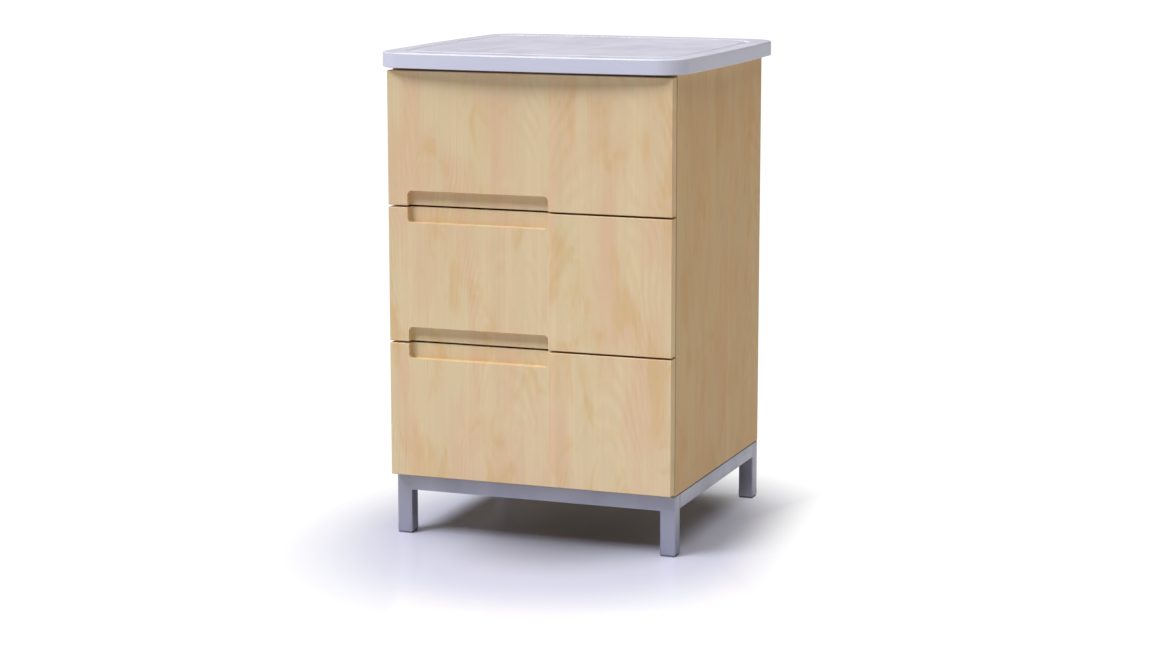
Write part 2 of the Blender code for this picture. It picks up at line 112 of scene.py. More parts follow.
# ------------------------------------------------------------------ bench
class Bench:
    """The modelling steps that every piece shares."""

    @staticmethod
    def clear() -> None:
        """Leave edit mode with nothing selected."""
        if bpy.context.mode != "OBJECT":
            bpy.ops.object.mode_set(mode="OBJECT")
        bpy.ops.object.select_all(action="DESELECT")

    @staticmethod
    def choose(*parts: Piece) -> None:
        """Select only some pieces, the first one active.

        Args:
            parts: The pieces.
        """
        Bench.clear()
        for part in parts:
            part.select_set(True)
        bpy.context.view_layer.objects.active = parts[0]

    @staticmethod
    def settle(name: str) -> Piece:
        """Name the active object, and put its place and turn into its mesh.

        Args:
            name: The piece's name.

        Returns:
            The active object, at the origin.
        """
        part = bpy.context.active_object
        part.name = name
        part.data.name = name
        bpy.ops.object.transform_apply(location=True, rotation=True, scale=True)
        return part

    @staticmethod
    def block(name: str, low: Triple, high: Triple) -> Piece:
        """Add a cube at its size and place.

        Args:
            name: The piece's name.
            low: Lowest corner.
            high: Highest corner.

        Returns:
            The new piece.
        """
        Bench.clear()
        low, high = Vector(low), Vector(high)
        bpy.ops.mesh.primitive_cube_add(size=1.0, location=(low + high) / 2)
        bpy.context.active_object.scale = high - low
        return Bench.settle(name)

    @staticmethod
    def rod(name: str, radius: float, start: Triple, end: Triple, sides: int = 24) -> Piece:
        """Add a cylinder between two points.

        Args:
            name: The piece's name.
            radius: Its radius.
            start: Middle of its first end.
            end: Middle of its other end.
            sides: How many faces go round it.

        Returns:
            The new piece.
        """
        Bench.clear()
        start, end = Vector(start), Vector(end)
        turn = (end - start).to_track_quat("Z", "Y").to_euler()
        bpy.ops.mesh.primitive_cylinder_add(vertices=sides, radius=radius,
                                            depth=(end - start).length,
                                            location=(start + end) / 2, rotation=turn)
        return Bench.settle(name)

    @staticmethod
    def ball(name: str, centre: Triple, radii: Triple, subdivisions: int = 2) -> Piece:
        """Add an icosphere, stretched to three radii.

        Args:
            name: The piece's name.
            centre: Its middle.
            radii: Its radius along each axis.
            subdivisions: How fine it is.

        Returns:
            The new piece.
        """
        Bench.clear()
        bpy.ops.mesh.primitive_ico_sphere_add(subdivisions=subdivisions, radius=1.0,
                                              location=centre)
        bpy.context.active_object.scale = radii
        return Bench.settle(name)

    @staticmethod
    @contextmanager
    def editing(part: Piece) -> Iterator[None]:
        """Edit one piece, with nothing selected at first.

        Args:
            part: The piece to edit.

        Yields:
            Nothing; edit mode lasts until the block ends.
        """
        Bench.choose(part)
        bpy.ops.object.mode_set(mode="EDIT")
        bpy.ops.mesh.select_all(action="DESELECT")
        yield
        bpy.ops.object.mode_set(mode="OBJECT")

    @staticmethod
    def take_all() -> None:
        """Select everything in the piece being edited."""
        bpy.ops.mesh.select_all(action="SELECT")

    @staticmethod
    def pick(part: Piece, element: Element, test: Callable) -> None:
        """Select the elements of a piece in edit mode that pass a test.

        Args:
            part: The piece being edited.
            element: Points, edges or faces.
            test: Takes the element and its middle, and is true for what is wanted.
        """
        bpy.ops.mesh.select_mode(type=element.value)
        bpy.ops.mesh.select_all(action="DESELECT")
        shape = bmesh.from_edit_mesh(part.data)
        items, middle = {
            Element.POINT: (shape.verts, lambda item: item.co),
            Element.EDGE: (shape.edges,
                           lambda item: (item.verts[0].co + item.verts[1].co) / 2),
            Element.FACE: (shape.faces, lambda item: item.calc_center_median()),
        }[element]
        for item in items:
            if test(item, middle(item)):
                item.select_set(True)
        shape.select_flush_mode()
        bmesh.update_edit_mesh(part.data)

    @staticmethod
    def span(edge: bmesh.types.BMEdge, axis: Axis) -> float:
        """How far an edge reaches along an axis."""
        return abs(edge.verts[0].co[axis.value] - edge.verts[1].co[axis.value])

    @staticmethod
    def bevel(part: Piece, radius: float, segments: int, test: Callable) -> None:
        """Round the edges that pass a test, in edit mode.

        Args:
            part: The piece being edited.
            radius: Radius of the rounding.
            segments: How many faces go round it.
            test: Takes an edge and its middle, and is true for what is wanted.
        """
        Bench.pick(part, Element.EDGE, test)
        bpy.ops.mesh.bevel(offset=radius, segments=segments, affect="EDGES")

    @staticmethod
    def extrude(x: float = 0.0, y: float = 0.0, z: float = 0.0) -> None:
        """Extrude what is selected by a step."""
        bpy.ops.mesh.extrude_region_move(TRANSFORM_OT_translate={"value": (x, y, z)})

    @staticmethod
    def modify(part: Piece, kind: str, **settings: object) -> None:
        """Add a modifier to a piece and apply it.

        Args:
            part: The piece.
            kind: The modifier's type.
            settings: Values to set on the modifier.
        """
        Bench.choose(part)
        modifier = part.modifiers.new(kind.lower(), kind)
        for key, value in settings.items():
            setattr(modifier, key, value)
        bpy.ops.object.modifier_apply(modifier=modifier.name)

    @staticmethod
    def cut(part: Piece, other: Piece) -> None:
        """Cut another shape out of a piece, and remove the other shape."""
        Bench.modify(part, "BOOLEAN", object=other, operation="DIFFERENCE", solver="EXACT")
        bpy.data.objects.remove(other, do_unlink=True)

    @staticmethod
    def round_edges(part: Piece, radius: float, segments: int = 3, angle: float = 40.0) -> None:
        """Round every edge of a piece that is sharper than an angle.

        Args:
            part: The piece.
            radius: Radius of the rounding.
            segments: How many faces go round it.
            angle: The least angle, in degrees.
        """
        Bench.modify(part, "BEVEL", width=radius, segments=segments, limit_method="ANGLE",
                     angle_limit=math.radians(angle))

    @staticmethod
    def smooth(part: Piece, angle: float = 32.0) -> None:
        """Shade a piece smooth, except across edges sharper than an angle in degrees."""
        Bench.choose(part)
        bpy.ops.object.shade_smooth_by_angle(angle=math.radians(angle))

    @staticmethod
    def smooth_board(part: Piece, angle: float = 32.0) -> None:
        """Shade a board smooth, its large flat faces setting the shading beside them."""
        Bench.smooth(part, angle)
        Bench.modify(part, "WEIGHTED_NORMAL", keep_sharp=True, weight=60)

    @staticmethod
    def mend(part: Piece) -> None:
        """Merge a piece's doubles and turn its faces outwards.

        Args:
            part: The piece.
        """
        with Bench.editing(part):
            Bench.take_all()
            bpy.ops.mesh.remove_doubles(threshold=0.000005)
            bpy.ops.mesh.normals_make_consistent(inside=False)

    @staticmethod
    def copy(part: Piece, name: str, shift: Triple = (0.0, 0.0, 0.0)) -> Piece:
        """Copy a piece, with its own mesh, to another place.

        Args:
            part: The piece to copy.
            name: The copy's name.
            shift: How far the copy is moved.

        Returns:
            The copy.
        """
        Bench.choose(part)
        bpy.ops.object.duplicate(linked=False)
        bpy.ops.transform.translate(value=shift)
        return Bench.settle(name)

    @staticmethod
    def mirrored(part: Piece, name: str) -> Piece:
        """Copy a piece to the other side of the cabinet's middle.

        Args:
            part: The piece to copy.
            name: The copy's name.

        Returns:
            The mirrored copy, its faces outwards.
        """
        other = Bench.copy(part, name)
        with Bench.editing(other):
            Bench.take_all()
            bpy.ops.transform.resize(value=(-1.0, 1.0, 1.0), center_override=(0.0, 0.0, 0.0))
            bpy.ops.mesh.flip_normals()
        return other

    @staticmethod
    def together(name: str, parts: Sequence[Piece]) -> Piece:
        """Join pieces into one.

        Args:
            name: The joined piece's name.
            parts: The pieces.

        Returns:
            The joined piece.
        """
        Bench.choose(*parts)
        if len(parts) > 1:
            bpy.ops.object.join()
        return Bench.settle(name)

    @staticmethod
    def scatter(first: Piece, name: str, places: Sequence[Triple]) -> Piece:
        """Copy a piece to every place, remove it, and join the copies.

        Args:
            first: The piece, at the origin.
            name: The joined piece's name.
            places: Where the copies go.

        Returns:
            The copies as one piece.
        """
        copies = [Bench.copy(first, f"{name}_{number}", place)
                  for number, place in enumerate(places)]
        bpy.data.objects.remove(first, do_unlink=True)
        return Bench.together(name, copies)

    @staticmethod
    def deliver(part: Piece, body: str, finish: "Finish",
                stands_for: Sequence[str] = ()) -> None:
        """Dress a finished piece, ride it on its body and report it.

        Args:
            part: The piece, its place in its mesh.
            body: The body it moves with.
            finish: Its finish.
            stands_for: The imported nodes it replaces.
        """
        part.data.materials.clear()
        part.data.materials.append(finish.material())
        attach(part, body)
        if stands_for:
            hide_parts(*stands_for)
        LOG.info("%s: %d faces, %s, on %s", part.name, len(part.data.polygons),
                 finish.slot, body)

    @staticmethod
    def deliver_pair(right: Piece, body: str, finish: "Finish", node: str = "") -> None:
        """Mirror a right-hand piece to the left, and deliver both.

        Args:
            right: The piece, its name ending in _right.
            body: The body that both move with.
            finish: Their finish.
            node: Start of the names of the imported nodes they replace, if there are any.
        """
        left = Bench.mirrored(right, right.name.replace("_right", "_left"))
        for piece, side_name in ((right, "right"), (left, "left")):
            Bench.deliver(piece, body, finish, [f"{node}_{side_name}"] if node else ())


# ------------------------------------------------------------------ finishes
@dataclass(frozen=True)
class Noise:
    """A noise pattern: features per metre, a shift, octaves, their strength, a twist."""

    scale: Triple
    shift: Triple = (0, 0, 0)
    detail: float = 3.0
    rough: float = 0.6
    twist: float = 0.0


class Recipe:
    """The node tree of one material, built a node at a time."""

    def __init__(self, name: str, **shader: object) -> None:
        """Start a Principled material.

        Args:
            name: The material's name.
            shader: Values for the shader's sockets, with _ for a space.
        """
        self.material = bpy.data.materials.new(name)
        self.material.use_nodes = True
        self.tree = self.material.node_tree
        self.shader = self.fill(self.tree.nodes["Principled BSDF"], **shader)

    def node(self, kind: str, **settings: object) -> bpy.types.Node:
        """Add a node and set its options.

        Args:
            kind: The node's type.
            settings: Values for its options.

        Returns:
            The node.
        """
        made = self.tree.nodes.new(kind)
        for key, value in settings.items():
            setattr(made, key, value)
        return made

    def feed(self, socket: Socket, value: object) -> None:
        """Link a socket to another, or set it to a constant.

        Args:
            socket: The socket to feed.
            value: A socket, a number, a colour or a vector.
        """
        if isinstance(value, bpy.types.NodeSocket):
            self.tree.links.new(value, socket)
        elif isinstance(value, tuple) and len(value) == 3 and socket.type == "RGBA":
            socket.default_value = (*value, 1.0)
        else:
            socket.default_value = value

    def fill(self, node: bpy.types.Node, **values: object) -> bpy.types.Node:
        """Feed a node's sockets by name.

        Args:
            node: The node.
            values: What each socket gets, its name with _ for a space.

        Returns:
            The same node.
        """
        for name, value in values.items():
            self.feed(node.inputs[name.replace("_", " ")], value)
        return node

    def math(self, operation: str, *values: object) -> Socket:
        """One arithmetic step on numbers or sockets.

        Args:
            operation: The Math node's operation.
            values: What it works on.

        Returns:
            The result.
        """
        step = self.node("ShaderNodeMath", operation=operation)
        for socket, value in zip(step.inputs, values):
            self.feed(socket, value)
        return step.outputs[0]

    def place(self) -> tuple[Socket, Socket, Socket]:
        """The three object coordinates, apart.

        Returns:
            X, Y and Z.
        """
        coordinates = self.node("ShaderNodeTexCoord")
        apart = self.fill(self.node("ShaderNodeSeparateXYZ"),
                          Vector=coordinates.outputs["Object"])
        return tuple(apart.outputs)

    def vector(self, x: object, y: object, z: object) -> Socket:
        """Three numbers as one vector."""
        return self.fill(self.node("ShaderNodeCombineXYZ"), X=x, Y=y, Z=z).outputs[0]

    def stretched(self, where: Socket, scale: Triple, shift: Triple = (0, 0, 0)) -> Socket:
        """A vector through a Mapping node."""
        return self.fill(self.node("ShaderNodeMapping"), Vector=where, Location=shift,
                         Scale=scale).outputs[0]

    def noise(self, where: Socket, pattern: Noise) -> Socket:
        """A pattern's value at a place, between about 0.2 and 0.8."""
        made = self.fill(self.node("ShaderNodeTexNoise"), Scale=1.0, Detail=pattern.detail,
                         Vector=self.stretched(where, pattern.scale, pattern.shift),
                         Roughness=pattern.rough, Distortion=pattern.twist)
        return made.outputs[0]

    def between(self, value: Socket, low: float, high: float, to_low: float = 0.0,
                to_high: float = 1.0) -> Socket:
        """A value's range, stretched smoothly to another range and held there.

        Args:
            value: The value.
            low: Where the change starts.
            high: Where it ends.
            to_low: The result up to low.
            to_high: The result from high on.

        Returns:
            The new value.
        """
        made = self.node("ShaderNodeMapRange", interpolation_type="SMOOTHSTEP")
        return self.fill(made, Value=value, From_Min=low, From_Max=high, To_Min=to_low,
                         To_Max=to_high).outputs[0]

    def swing(self, value: Socket, span: Span) -> Socket:
        """The usual range of a noise, 0.3 to 0.7, stretched to a span."""
        return self.between(value, 0.3, 0.7, *span)

    def mix(self, share: object, first: object, second: object, how: str = "MIX") -> Socket:
        """Two colours mixed.

        Args:
            share: How much of the second.
            first: A colour or a socket.
            second: A colour or a socket.
            how: The blend type.

        Returns:
            The mixed colour.
        """
        made = self.node("ShaderNodeMix", data_type="RGBA", blend_type=how)
        for index, value in ((0, share), (6, first), (7, second)):
            self.feed(made.inputs[index], value)
        return made.outputs[2]

    def shaded(self, colour: object, shade: Socket) -> Socket:
        """A colour times a brightness."""
        return self.mix(1.0, colour, shade, "MULTIPLY")

    def finish(self, colour: Socket, roughness: Socket, height: Socket,
               bump: Span) -> bpy.types.Material:
        """Link the results to the shader.

        Args:
            colour: Base colour.
            roughness: Roughness.
            height: The bump's height, between 0 and 1.
            bump: The bump's depth in metres, and its strength.

        Returns:
            The material.
        """
        raised = self.fill(self.node("ShaderNodeBump"), Distance=bump[0], Strength=bump[1],
                           Height=height)
        self.fill(self.shader, Normal=raised.outputs[0], Base_Color=colour,
                  Roughness=roughness)
        return self.material


class Finish:
    """A finish that makes its material once."""

    slot: str
    name: str

    def material(self) -> bpy.types.Material:
        """The finish's material, made the first time it is asked for."""
        return bpy.data.materials.get(self.name) or self.make()

    def make(self) -> bpy.types.Material:
        """Build the material's nodes."""
        raise NotImplementedError


@dataclass(frozen=True)
class Patch:
    """Patches of a colour: their pattern, their range and their strength."""

    tint: Tint
    pattern: Noise
    span: Span
    strength: float


@dataclass(frozen=True)
class WoodLaminate(Finish):
    """A printed wood laminate: soft figure, fine streaks and colour patches.

    The order of axes is across the grain, through the board, along the grain.
    """

    name: str
    slot: str = "maple_laminate"
    axes: tuple[Axis, Axis, Axis] = (Axis.X, Axis.Y, Axis.Z)
    pale: Colour = (0.680, 0.530, 0.318)
    amber: Colour = (0.628, 0.406, 0.176)
    rosy: Colour = (0.672, 0.462, 0.282)
    green: Colour = (0.646, 0.520, 0.305)
    leaf_edge: float = 0.035
    leaf_step: Span = (0.53, 0.37)
    joint_glow: float = 1.03
    shift: float = 0.0
    contrast: float = 1.0
    rough: Span = (0.36, 0.45)
    bump: Span = (0.00005, 0.35)
    face: float | None = None
    pull_depth: float = 0.0125
    # painted shade: a warmer, slightly darker tint on the fronts' edges and pull walls
    painted_edge_shade: Colour = (1.05, 0.98, 0.80)
    pores: Noise = Noise((700, 120, 9), (3, 1, 2))
    waver: Noise = Noise((9, 3, 3.5), (4.4, 0, 0.6), 2.0, 0.5)
    worn: Noise = Noise((26, 6, 7), (6, 0, 3), 2.0, 0.5)
    band: Noise = Noise((75, 14, 0.9), (0.4, 0, 8.8), 2.0)
    streak: Noise = Noise((430, 60, 3.4), (9, 0, 5), 3.0, 0.65)
    waver_swing: float = 0.10
    arch_half: float = 0.17
    arch_rise: float = 0.14
    arch_foot: float = 0.25
    ring_rate: float = 1150.0
    ring_swing: float = 0.028
    band_swing: float = 0.11
    streak_swing: float = 0.12
    patches: tuple[Patch, ...] = (
        Patch(Tint.ROSY, Noise((15, 8, 4.2), (1.7, 0, 4.2), 3.0, 0.6, 0.4), (0.40, 0.62),
              0.85),
        Patch(Tint.GREEN, Noise((26, 6, 3.2), (8.1, 0, 2.9), 3.0, 0.55, 0.3), (0.48, 0.66),
              0.65),
        Patch(Tint.AMBER, Noise((19, 9, 8.5), (5.3, 0, 7.7), 3.0, 0.6, 0.7), (0.50, 0.68),
              0.55),
        Patch(Tint.AMBER, Noise((62, 16, 21), (2.2, 0, 1.4), 2.0, 0.5, 0.6), (0.58, 0.76),
              0.26))

    def make(self) -> bpy.types.Material:
        """Build the material's nodes: two leaves of veneer, patched and figured.

        Returns:
            The material.
        """
        recipe = Recipe(self.name, IOR=1.46, Specular_IOR_Level=0.28)
        place = recipe.place()
        across, through, along = (place[axis.value] for axis in self.axes)
        leaf = recipe.math("GREATER_THAN", across, self.leaf_edge)
        moved = recipe.math("ADD", across, recipe.math("MULTIPLY_ADD", leaf,
                                                       self.leaf_step[0], 0.5))
        moved = recipe.math("ADD", moved, self.shift)
        rise = recipe.math("ADD", along, recipe.math("MULTIPLY", leaf, self.leaf_step[1]))
        where = recipe.vector(moved, through, rise)
        colour = self.patched(recipe, where)
        # painted shade on the edges and pull walls, for a board that gives its face
        if self.face is not None:
            colour = self.edges(recipe, colour, through)
        off_joint = recipe.math("ABSOLUTE", recipe.math("SUBTRACT", across,
                                                        self.leaf_edge + 0.004))
        joint = recipe.between(off_joint, 0.0, 0.010, self.joint_glow, 1.0)
        shade = recipe.math("MULTIPLY", self.figure(recipe, where, moved, rise), joint)
        pores = recipe.noise(where, self.pores)
        return recipe.finish(recipe.shaded(colour, shade), recipe.swing(pores, self.rough),
                             pores, self.bump)

    def edges(self, recipe: Recipe, colour: Socket, through: Socket) -> Socket:
        """A deeper colour, painted shade, on a board's edges and on the walls of its finger
        pulls.

        Args:
            recipe: The material.
            colour: The colour so far.
            through: Distance through the board.

        Returns:
            The colour.
        """
        depth = recipe.math("SUBTRACT", through, self.face)
        walls = recipe.between(depth, 0.0008, 0.0025)
        floor = recipe.math("ABSOLUTE", recipe.math("SUBTRACT", depth, self.pull_depth))
        share = recipe.math("MULTIPLY", walls, recipe.between(floor, 0.0005, 0.0009))
        return recipe.mix(share, colour, self.painted_edge_shade, "MULTIPLY")

    def patched(self, recipe: Recipe, where: Socket) -> Socket:
        """Cream ground with rosy, greenish and amber patches.

        Args:
            recipe: The material.
            where: Across, through and along the grain.

        Returns:
            The colour.
        """
        colour = self.pale
        for patch in self.patches:
            share = recipe.between(recipe.noise(where, patch.pattern), *patch.span, 0.0,
                                   patch.strength * self.contrast)
            colour = recipe.mix(share, colour, getattr(self, patch.tint.value))
        return colour

    def figure(self, recipe: Recipe, where: Socket, across: Socket, along: Socket) -> Socket:
        """Arched growth rings, bands and fine streaks, as a brightness near 1.

        Args:
            recipe: The material.
            where: Across, through and along the grain.
            across: Distance across the grain.
            along: Distance along the grain.

        Returns:
            The brightness.
        """
        offset = recipe.math("MULTIPLY_ADD", recipe.noise(where, self.waver),
                             self.waver_swing, 0.5)
        arch_x = recipe.math("PINGPONG", recipe.math("ADD", across, offset), self.arch_half)
        arch_z = recipe.math("MULTIPLY", recipe.math("ADD", along, self.arch_foot),
                             self.arch_rise)
        radius = recipe.math("SQRT", recipe.math("ADD", recipe.math("POWER", arch_x, 2.0),
                                                 recipe.math("POWER", arch_z, 2.0)))
        ring = recipe.math("SINE", recipe.math("MULTIPLY", radius, self.ring_rate))
        worn = recipe.between(recipe.noise(where, self.worn), 0.42, 0.66)
        shade = recipe.math("MULTIPLY_ADD", recipe.math("MULTIPLY", ring, worn),
                            self.ring_swing * self.contrast, 1.0)
        for pattern, amount in ((self.band, self.band_swing),
                                (self.streak, self.streak_swing)):
            swing = recipe.math("SUBTRACT", recipe.noise(where, pattern), 0.5)
            shade = recipe.math("ADD", shade, recipe.math("MULTIPLY", swing,
                                                          amount * self.contrast))
        return shade


@dataclass(frozen=True)
class TopLaminate(Finish):
    """A pale satin laminate with a fine pebbled surface; its edges below the top are painted
    bluer, standing in for the cooler light on them.
    """

    name: str = "worktop_satin"
    slot: str = "worktop_laminate"
    colour: Colour = (0.592, 0.575, 0.620)
    # painted light: the bluer colour of the edges below the top
    band: Colour = (0.590, 0.590, 0.700)
    painted_tint_height: float = 0.7712
    painted_tint_blend: float = 0.001
    rough: Span = (0.31, 0.40)
    bump: Span = (0.00003, 0.20)
    pebble: Noise = Noise((1500, 1500, 1500), detail=2.0)
    cloud: Noise = Noise((5, 5, 5), (2, 3, 0), 3.0, 0.55)
    smear: Noise = Noise((17, 9, 9), (7, 1, 0), 3.0, 0.6, 0.6)

    def make(self) -> bpy.types.Material:
        """Build the material's nodes.

        Returns:
            The material.
        """
        recipe = Recipe(self.name, IOR=1.48)
        place = recipe.place()
        where = recipe.vector(*place)
        pebble = recipe.noise(where, self.pebble)
        shade = recipe.math("ADD", recipe.swing(recipe.noise(where, self.cloud), (0.965, 1.01)),
                            recipe.swing(pebble, (-0.012, 0.012)))
        # painted light: below the top's rounding the colour turns bluer, for the cooler light on
        # the edges
        upper = recipe.between(place[2], self.painted_tint_height - self.painted_tint_blend,
                               self.painted_tint_height + self.painted_tint_blend)
        colour = recipe.shaded(recipe.mix(upper, self.band, self.colour), shade)
        rough = recipe.between(recipe.noise(where, self.smear), 0.35, 0.65, *self.rough)
        return recipe.finish(colour, rough, pebble, self.bump)


@dataclass(frozen=True)
class PowderCoat(Finish):
    """Grey paint with a fine metal flake and an orange-peel surface."""

    name: str = "base_powder_coat"
    slot: str = "base_paint"
    colour: Colour = (0.390, 0.390, 0.462)
    scuffed: Colour = (0.43, 0.43, 0.48)
    rough: Span = (0.45, 0.36)
    bump: Span = (0.00006, 0.5)
    peel: Noise = Noise((620, 620, 620), (1, 0, 0), 2.0, 0.5)
    flake: Noise = Noise((5200, 5200, 5200), (0, 3, 0), 1.0, 0.5)
    cloud: Noise = Noise((14, 14, 9), (0, 0, 2))
    scuff: Noise = Noise((150, 150, 60), (5, 2, 0), 4.0, 0.7)

    def make(self) -> bpy.types.Material:
        """Build the material's nodes, a little more scuffed near the floor.

        Returns:
            The material.
        """
        recipe = Recipe(self.name, IOR=1.5, Metallic=0.80, Specular_IOR_Level=0.40)
        place = recipe.place()
        where = recipe.vector(*place)
        cloud = recipe.noise(where, self.cloud)
        low = recipe.between(place[2], 0.004, 0.030, 0.30, 0.02)
        worn = recipe.math("MULTIPLY", recipe.between(recipe.noise(where, self.scuff), 0.56,
                                                      0.70), low)
        shade = recipe.math("ADD", recipe.swing(cloud, (0.95, 1.04)),
                            recipe.swing(recipe.noise(where, self.flake), (-0.06, 0.06)))
        colour = recipe.shaded(recipe.mix(worn, self.colour, self.scuffed), shade)
        return recipe.finish(colour, recipe.swing(cloud, self.rough),
                             recipe.noise(where, self.peel), self.bump)


@dataclass(frozen=True)
class PlatedSteel(Finish):
    """Zinc-plated sheet or screw steel with a faint spangle and rolling lines."""

    name: str = "zinc_plate"
    slot: str = "slide_steel"
    colour: Colour = (0.62, 0.63, 0.66)
    lines: Noise = Noise((90.0, 3.0, 900.0), (2, 0, 1))
    rough: Span = (0.28, 0.46)
    bump: Span = (0.00003, 0.4)
    haze: Noise = Noise((30, 12, 30), (0, 4, 0))
    spangle: Triple = (160, 160, 160)

    def make(self) -> bpy.types.Material:
        """Build the material's nodes.

        Returns:
            The material.
        """
        recipe = Recipe(self.name, Metallic=1.0)
        where = recipe.vector(*recipe.place())
        spangle = recipe.fill(recipe.node("ShaderNodeTexVoronoi"), Scale=1.0,
                              Vector=recipe.stretched(where, self.spangle))
        cell = recipe.fill(recipe.node("ShaderNodeRGBToBW"), Color=spangle.outputs["Color"])
        lines = recipe.noise(where, self.lines)
        shade = recipe.math("ADD", recipe.between(cell.outputs[0], 0.2, 0.8, 0.93, 1.02),
                            recipe.swing(lines, (-0.04, 0.04)))
        rough = recipe.swing(recipe.noise(where, self.haze), self.rough)
        return recipe.finish(recipe.shaded(self.colour, shade), rough, lines, self.bump)


@dataclass(frozen=True)
class MouldedPlastic(Finish):
    """Moulded plastic with a fine spark-eroded grain."""

    name: str = "moulded_black"
    slot: str = "glide_plastic"
    colour: Colour = (0.055, 0.055, 0.065)
    dusty: Colour = (0.11, 0.11, 0.12)
    rough: Span = (0.42, 0.62)
    bump: Span = (0.00005, 0.5)
    grain: Noise = Noise((1800, 1800, 1800), detail=2.0)
    dust: Noise = Noise((160, 160, 160), (3, 0, 0))

    def make(self) -> bpy.types.Material:
        """Build the material's nodes.

        Returns:
            The material.
        """
        recipe = Recipe(self.name, IOR=1.49)
        where = recipe.vector(*recipe.place())
        dust = recipe.noise(where, self.dust)
        colour = recipe.mix(recipe.between(dust, 0.45, 0.75, 0.0, 0.5), self.colour,
                            self.dusty)
        return recipe.finish(colour, recipe.swing(dust, self.rough),
                             recipe.noise(where, self.grain), self.bump)


@dataclass(frozen=True)
class StudioFloor(Finish):
    """The pale, faintly glossy studio floor, with a painted shadow near and under the cabinet;
    it fades to white away from the cabinet.
    """

    name: str = "studio_floor"
    slot: str = ""
    colour: Colour = (0.605, 0.605, 0.685)
    fade: Span = (0.30, 0.62)
    middle: Span = (0.03, -0.14)
    squeeze: float = 1.25
    # painted light: the floor's white glow reaches in close on the right, over the cabinet's
    # cast shadow there
    right_edge: Span = (0.25, 0.40)
    right_slant: float = 0.14
    # painted shadow: the floor's colour falls to half near and under the cabinet
    painted_floor_shadow: tuple[float, float, float] = (0.05, 0.30, 0.50)
    glow: Span = (0.80, 1.02)
    rough: Span = (0.18, 0.22)
    bump: Span = (0.00002, 0.1)
    haze: Noise = Noise((2.3, 2.3, 2.3), rough=0.5)

    def make(self) -> bpy.types.Material:
        """Build the material's nodes; the glow is dimmer where it casts light than seen.

        Returns:
            The material.
        """
        recipe = Recipe(self.name, IOR=1.45, Emission_Color=(1.0, 1.0, 1.0, 1.0))
        x, y, z = recipe.place()
        haze = recipe.noise(recipe.vector(x, y, z), self.haze)
        aside = recipe.math("POWER", recipe.math("MULTIPLY", recipe.math(
            "SUBTRACT", x, self.middle[0]), self.squeeze), 2.0)
        ahead = recipe.math("POWER", recipe.math("SUBTRACT", y, self.middle[1]), 2.0)
        distance = recipe.math("SQRT", recipe.math("ADD", aside, ahead))
        # painted light: the glow comes in close on the right, covering the cabinet's cast shadow
        beside = recipe.math("ADD", x, recipe.math("MULTIPLY", y, self.right_slant))
        away = recipe.math("MAXIMUM", recipe.between(distance, *self.fade),
                           recipe.between(beside, *self.right_edge))
        # painted shadow: the floor's colour is darkened near and under the cabinet
        colour = recipe.shaded(self.colour, recipe.between(distance, *self.painted_floor_shadow))
        colour = recipe.mix(away, colour, (0.0, 0.0, 0.0))
        seen = recipe.node("ShaderNodeLightPath").outputs["Is Camera Ray"]
        glow = recipe.math("MULTIPLY", away, recipe.between(seen, 0.0, 1.0, *self.glow))
        recipe.fill(recipe.shader, Emission_Strength=glow)
        return recipe.finish(colour, recipe.swing(haze, self.rough), haze, self.bump)


FRONT_MAPLE = WoodLaminate("maple_fronts", face=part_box("top_drawer_front")[0].y)
# The side panels' maple is a darker, more saturated copy of the fronts': partly their own tone,
# partly painted shade of the sides.
SHADED_SIDE_MAPLE = WoodLaminate(
    "maple_sides_painted_shade", axes=(Axis.Y, Axis.X, Axis.Z), leaf_edge=0.045, shift=1.31,
    pale=(0.650, 0.427, 0.184), amber=(0.600, 0.333, 0.105), rosy=(0.640, 0.376, 0.155),
    green=(0.610, 0.417, 0.184), rough=(0.42, 0.51))
SHELF_MAPLE = WoodLaminate(
    "maple_panels", axes=(Axis.Y, Axis.Z, Axis.X), leaf_edge=0.5, shift=2.2,
    pale=(0.610, 0.470, 0.260), amber=(0.555, 0.365, 0.155))
BOX_BIRCH_LONG = WoodLaminate(
    "birch_box_sides", "box_board", (Axis.Z, Axis.X, Axis.Y), leaf_edge=2.0, shift=3.1,
    pale=(0.690, 0.640, 0.530), amber=(0.660, 0.575, 0.430), rosy=(0.690, 0.610, 0.500),
    green=(0.670, 0.640, 0.520), contrast=0.6)
BOX_BIRCH_WIDE = replace(BOX_BIRCH_LONG, name="birch_box_ends",
                         axes=(Axis.Z, Axis.Y, Axis.X), shift=4.4)
BOX_BIRCH_FLOOR = replace(
    BOX_BIRCH_LONG, name="birch_box_floor", axes=(Axis.X, Axis.Z, Axis.Y), shift=5.7,
    pale=(0.710, 0.665, 0.565), amber=(0.670, 0.590, 0.450), rosy=(0.700, 0.630, 0.520),
    green=(0.690, 0.665, 0.560), contrast=0.5)
BACK_MAPLE = WoodLaminate(
    "maple_back", "back_board", leaf_edge=-0.02, shift=6.3, pale=(0.560, 0.430, 0.240),
    amber=(0.500, 0.335, 0.150), rosy=(0.545, 0.385, 0.215), green=(0.520, 0.425, 0.245),
    rough=(0.48, 0.57))
WORKTOP_SATIN = TopLaminate()
BASE_PAINT = PowderCoat()
SLIDE_ZINC = PlatedSteel()
SCREW_ZINC = PlatedSteel("zinc_screws", "screw_steel", (0.56, 0.56, 0.58),
                         Noise((700.0, 700.0, 700.0), (2, 0, 1)), (0.32, 0.50))
BLACK_PLASTIC = MouldedPlastic()
GREY_PLASTIC = MouldedPlastic("moulded_grey", colour=(0.20, 0.20, 0.25),
                              dusty=(0.26, 0.26, 0.29))


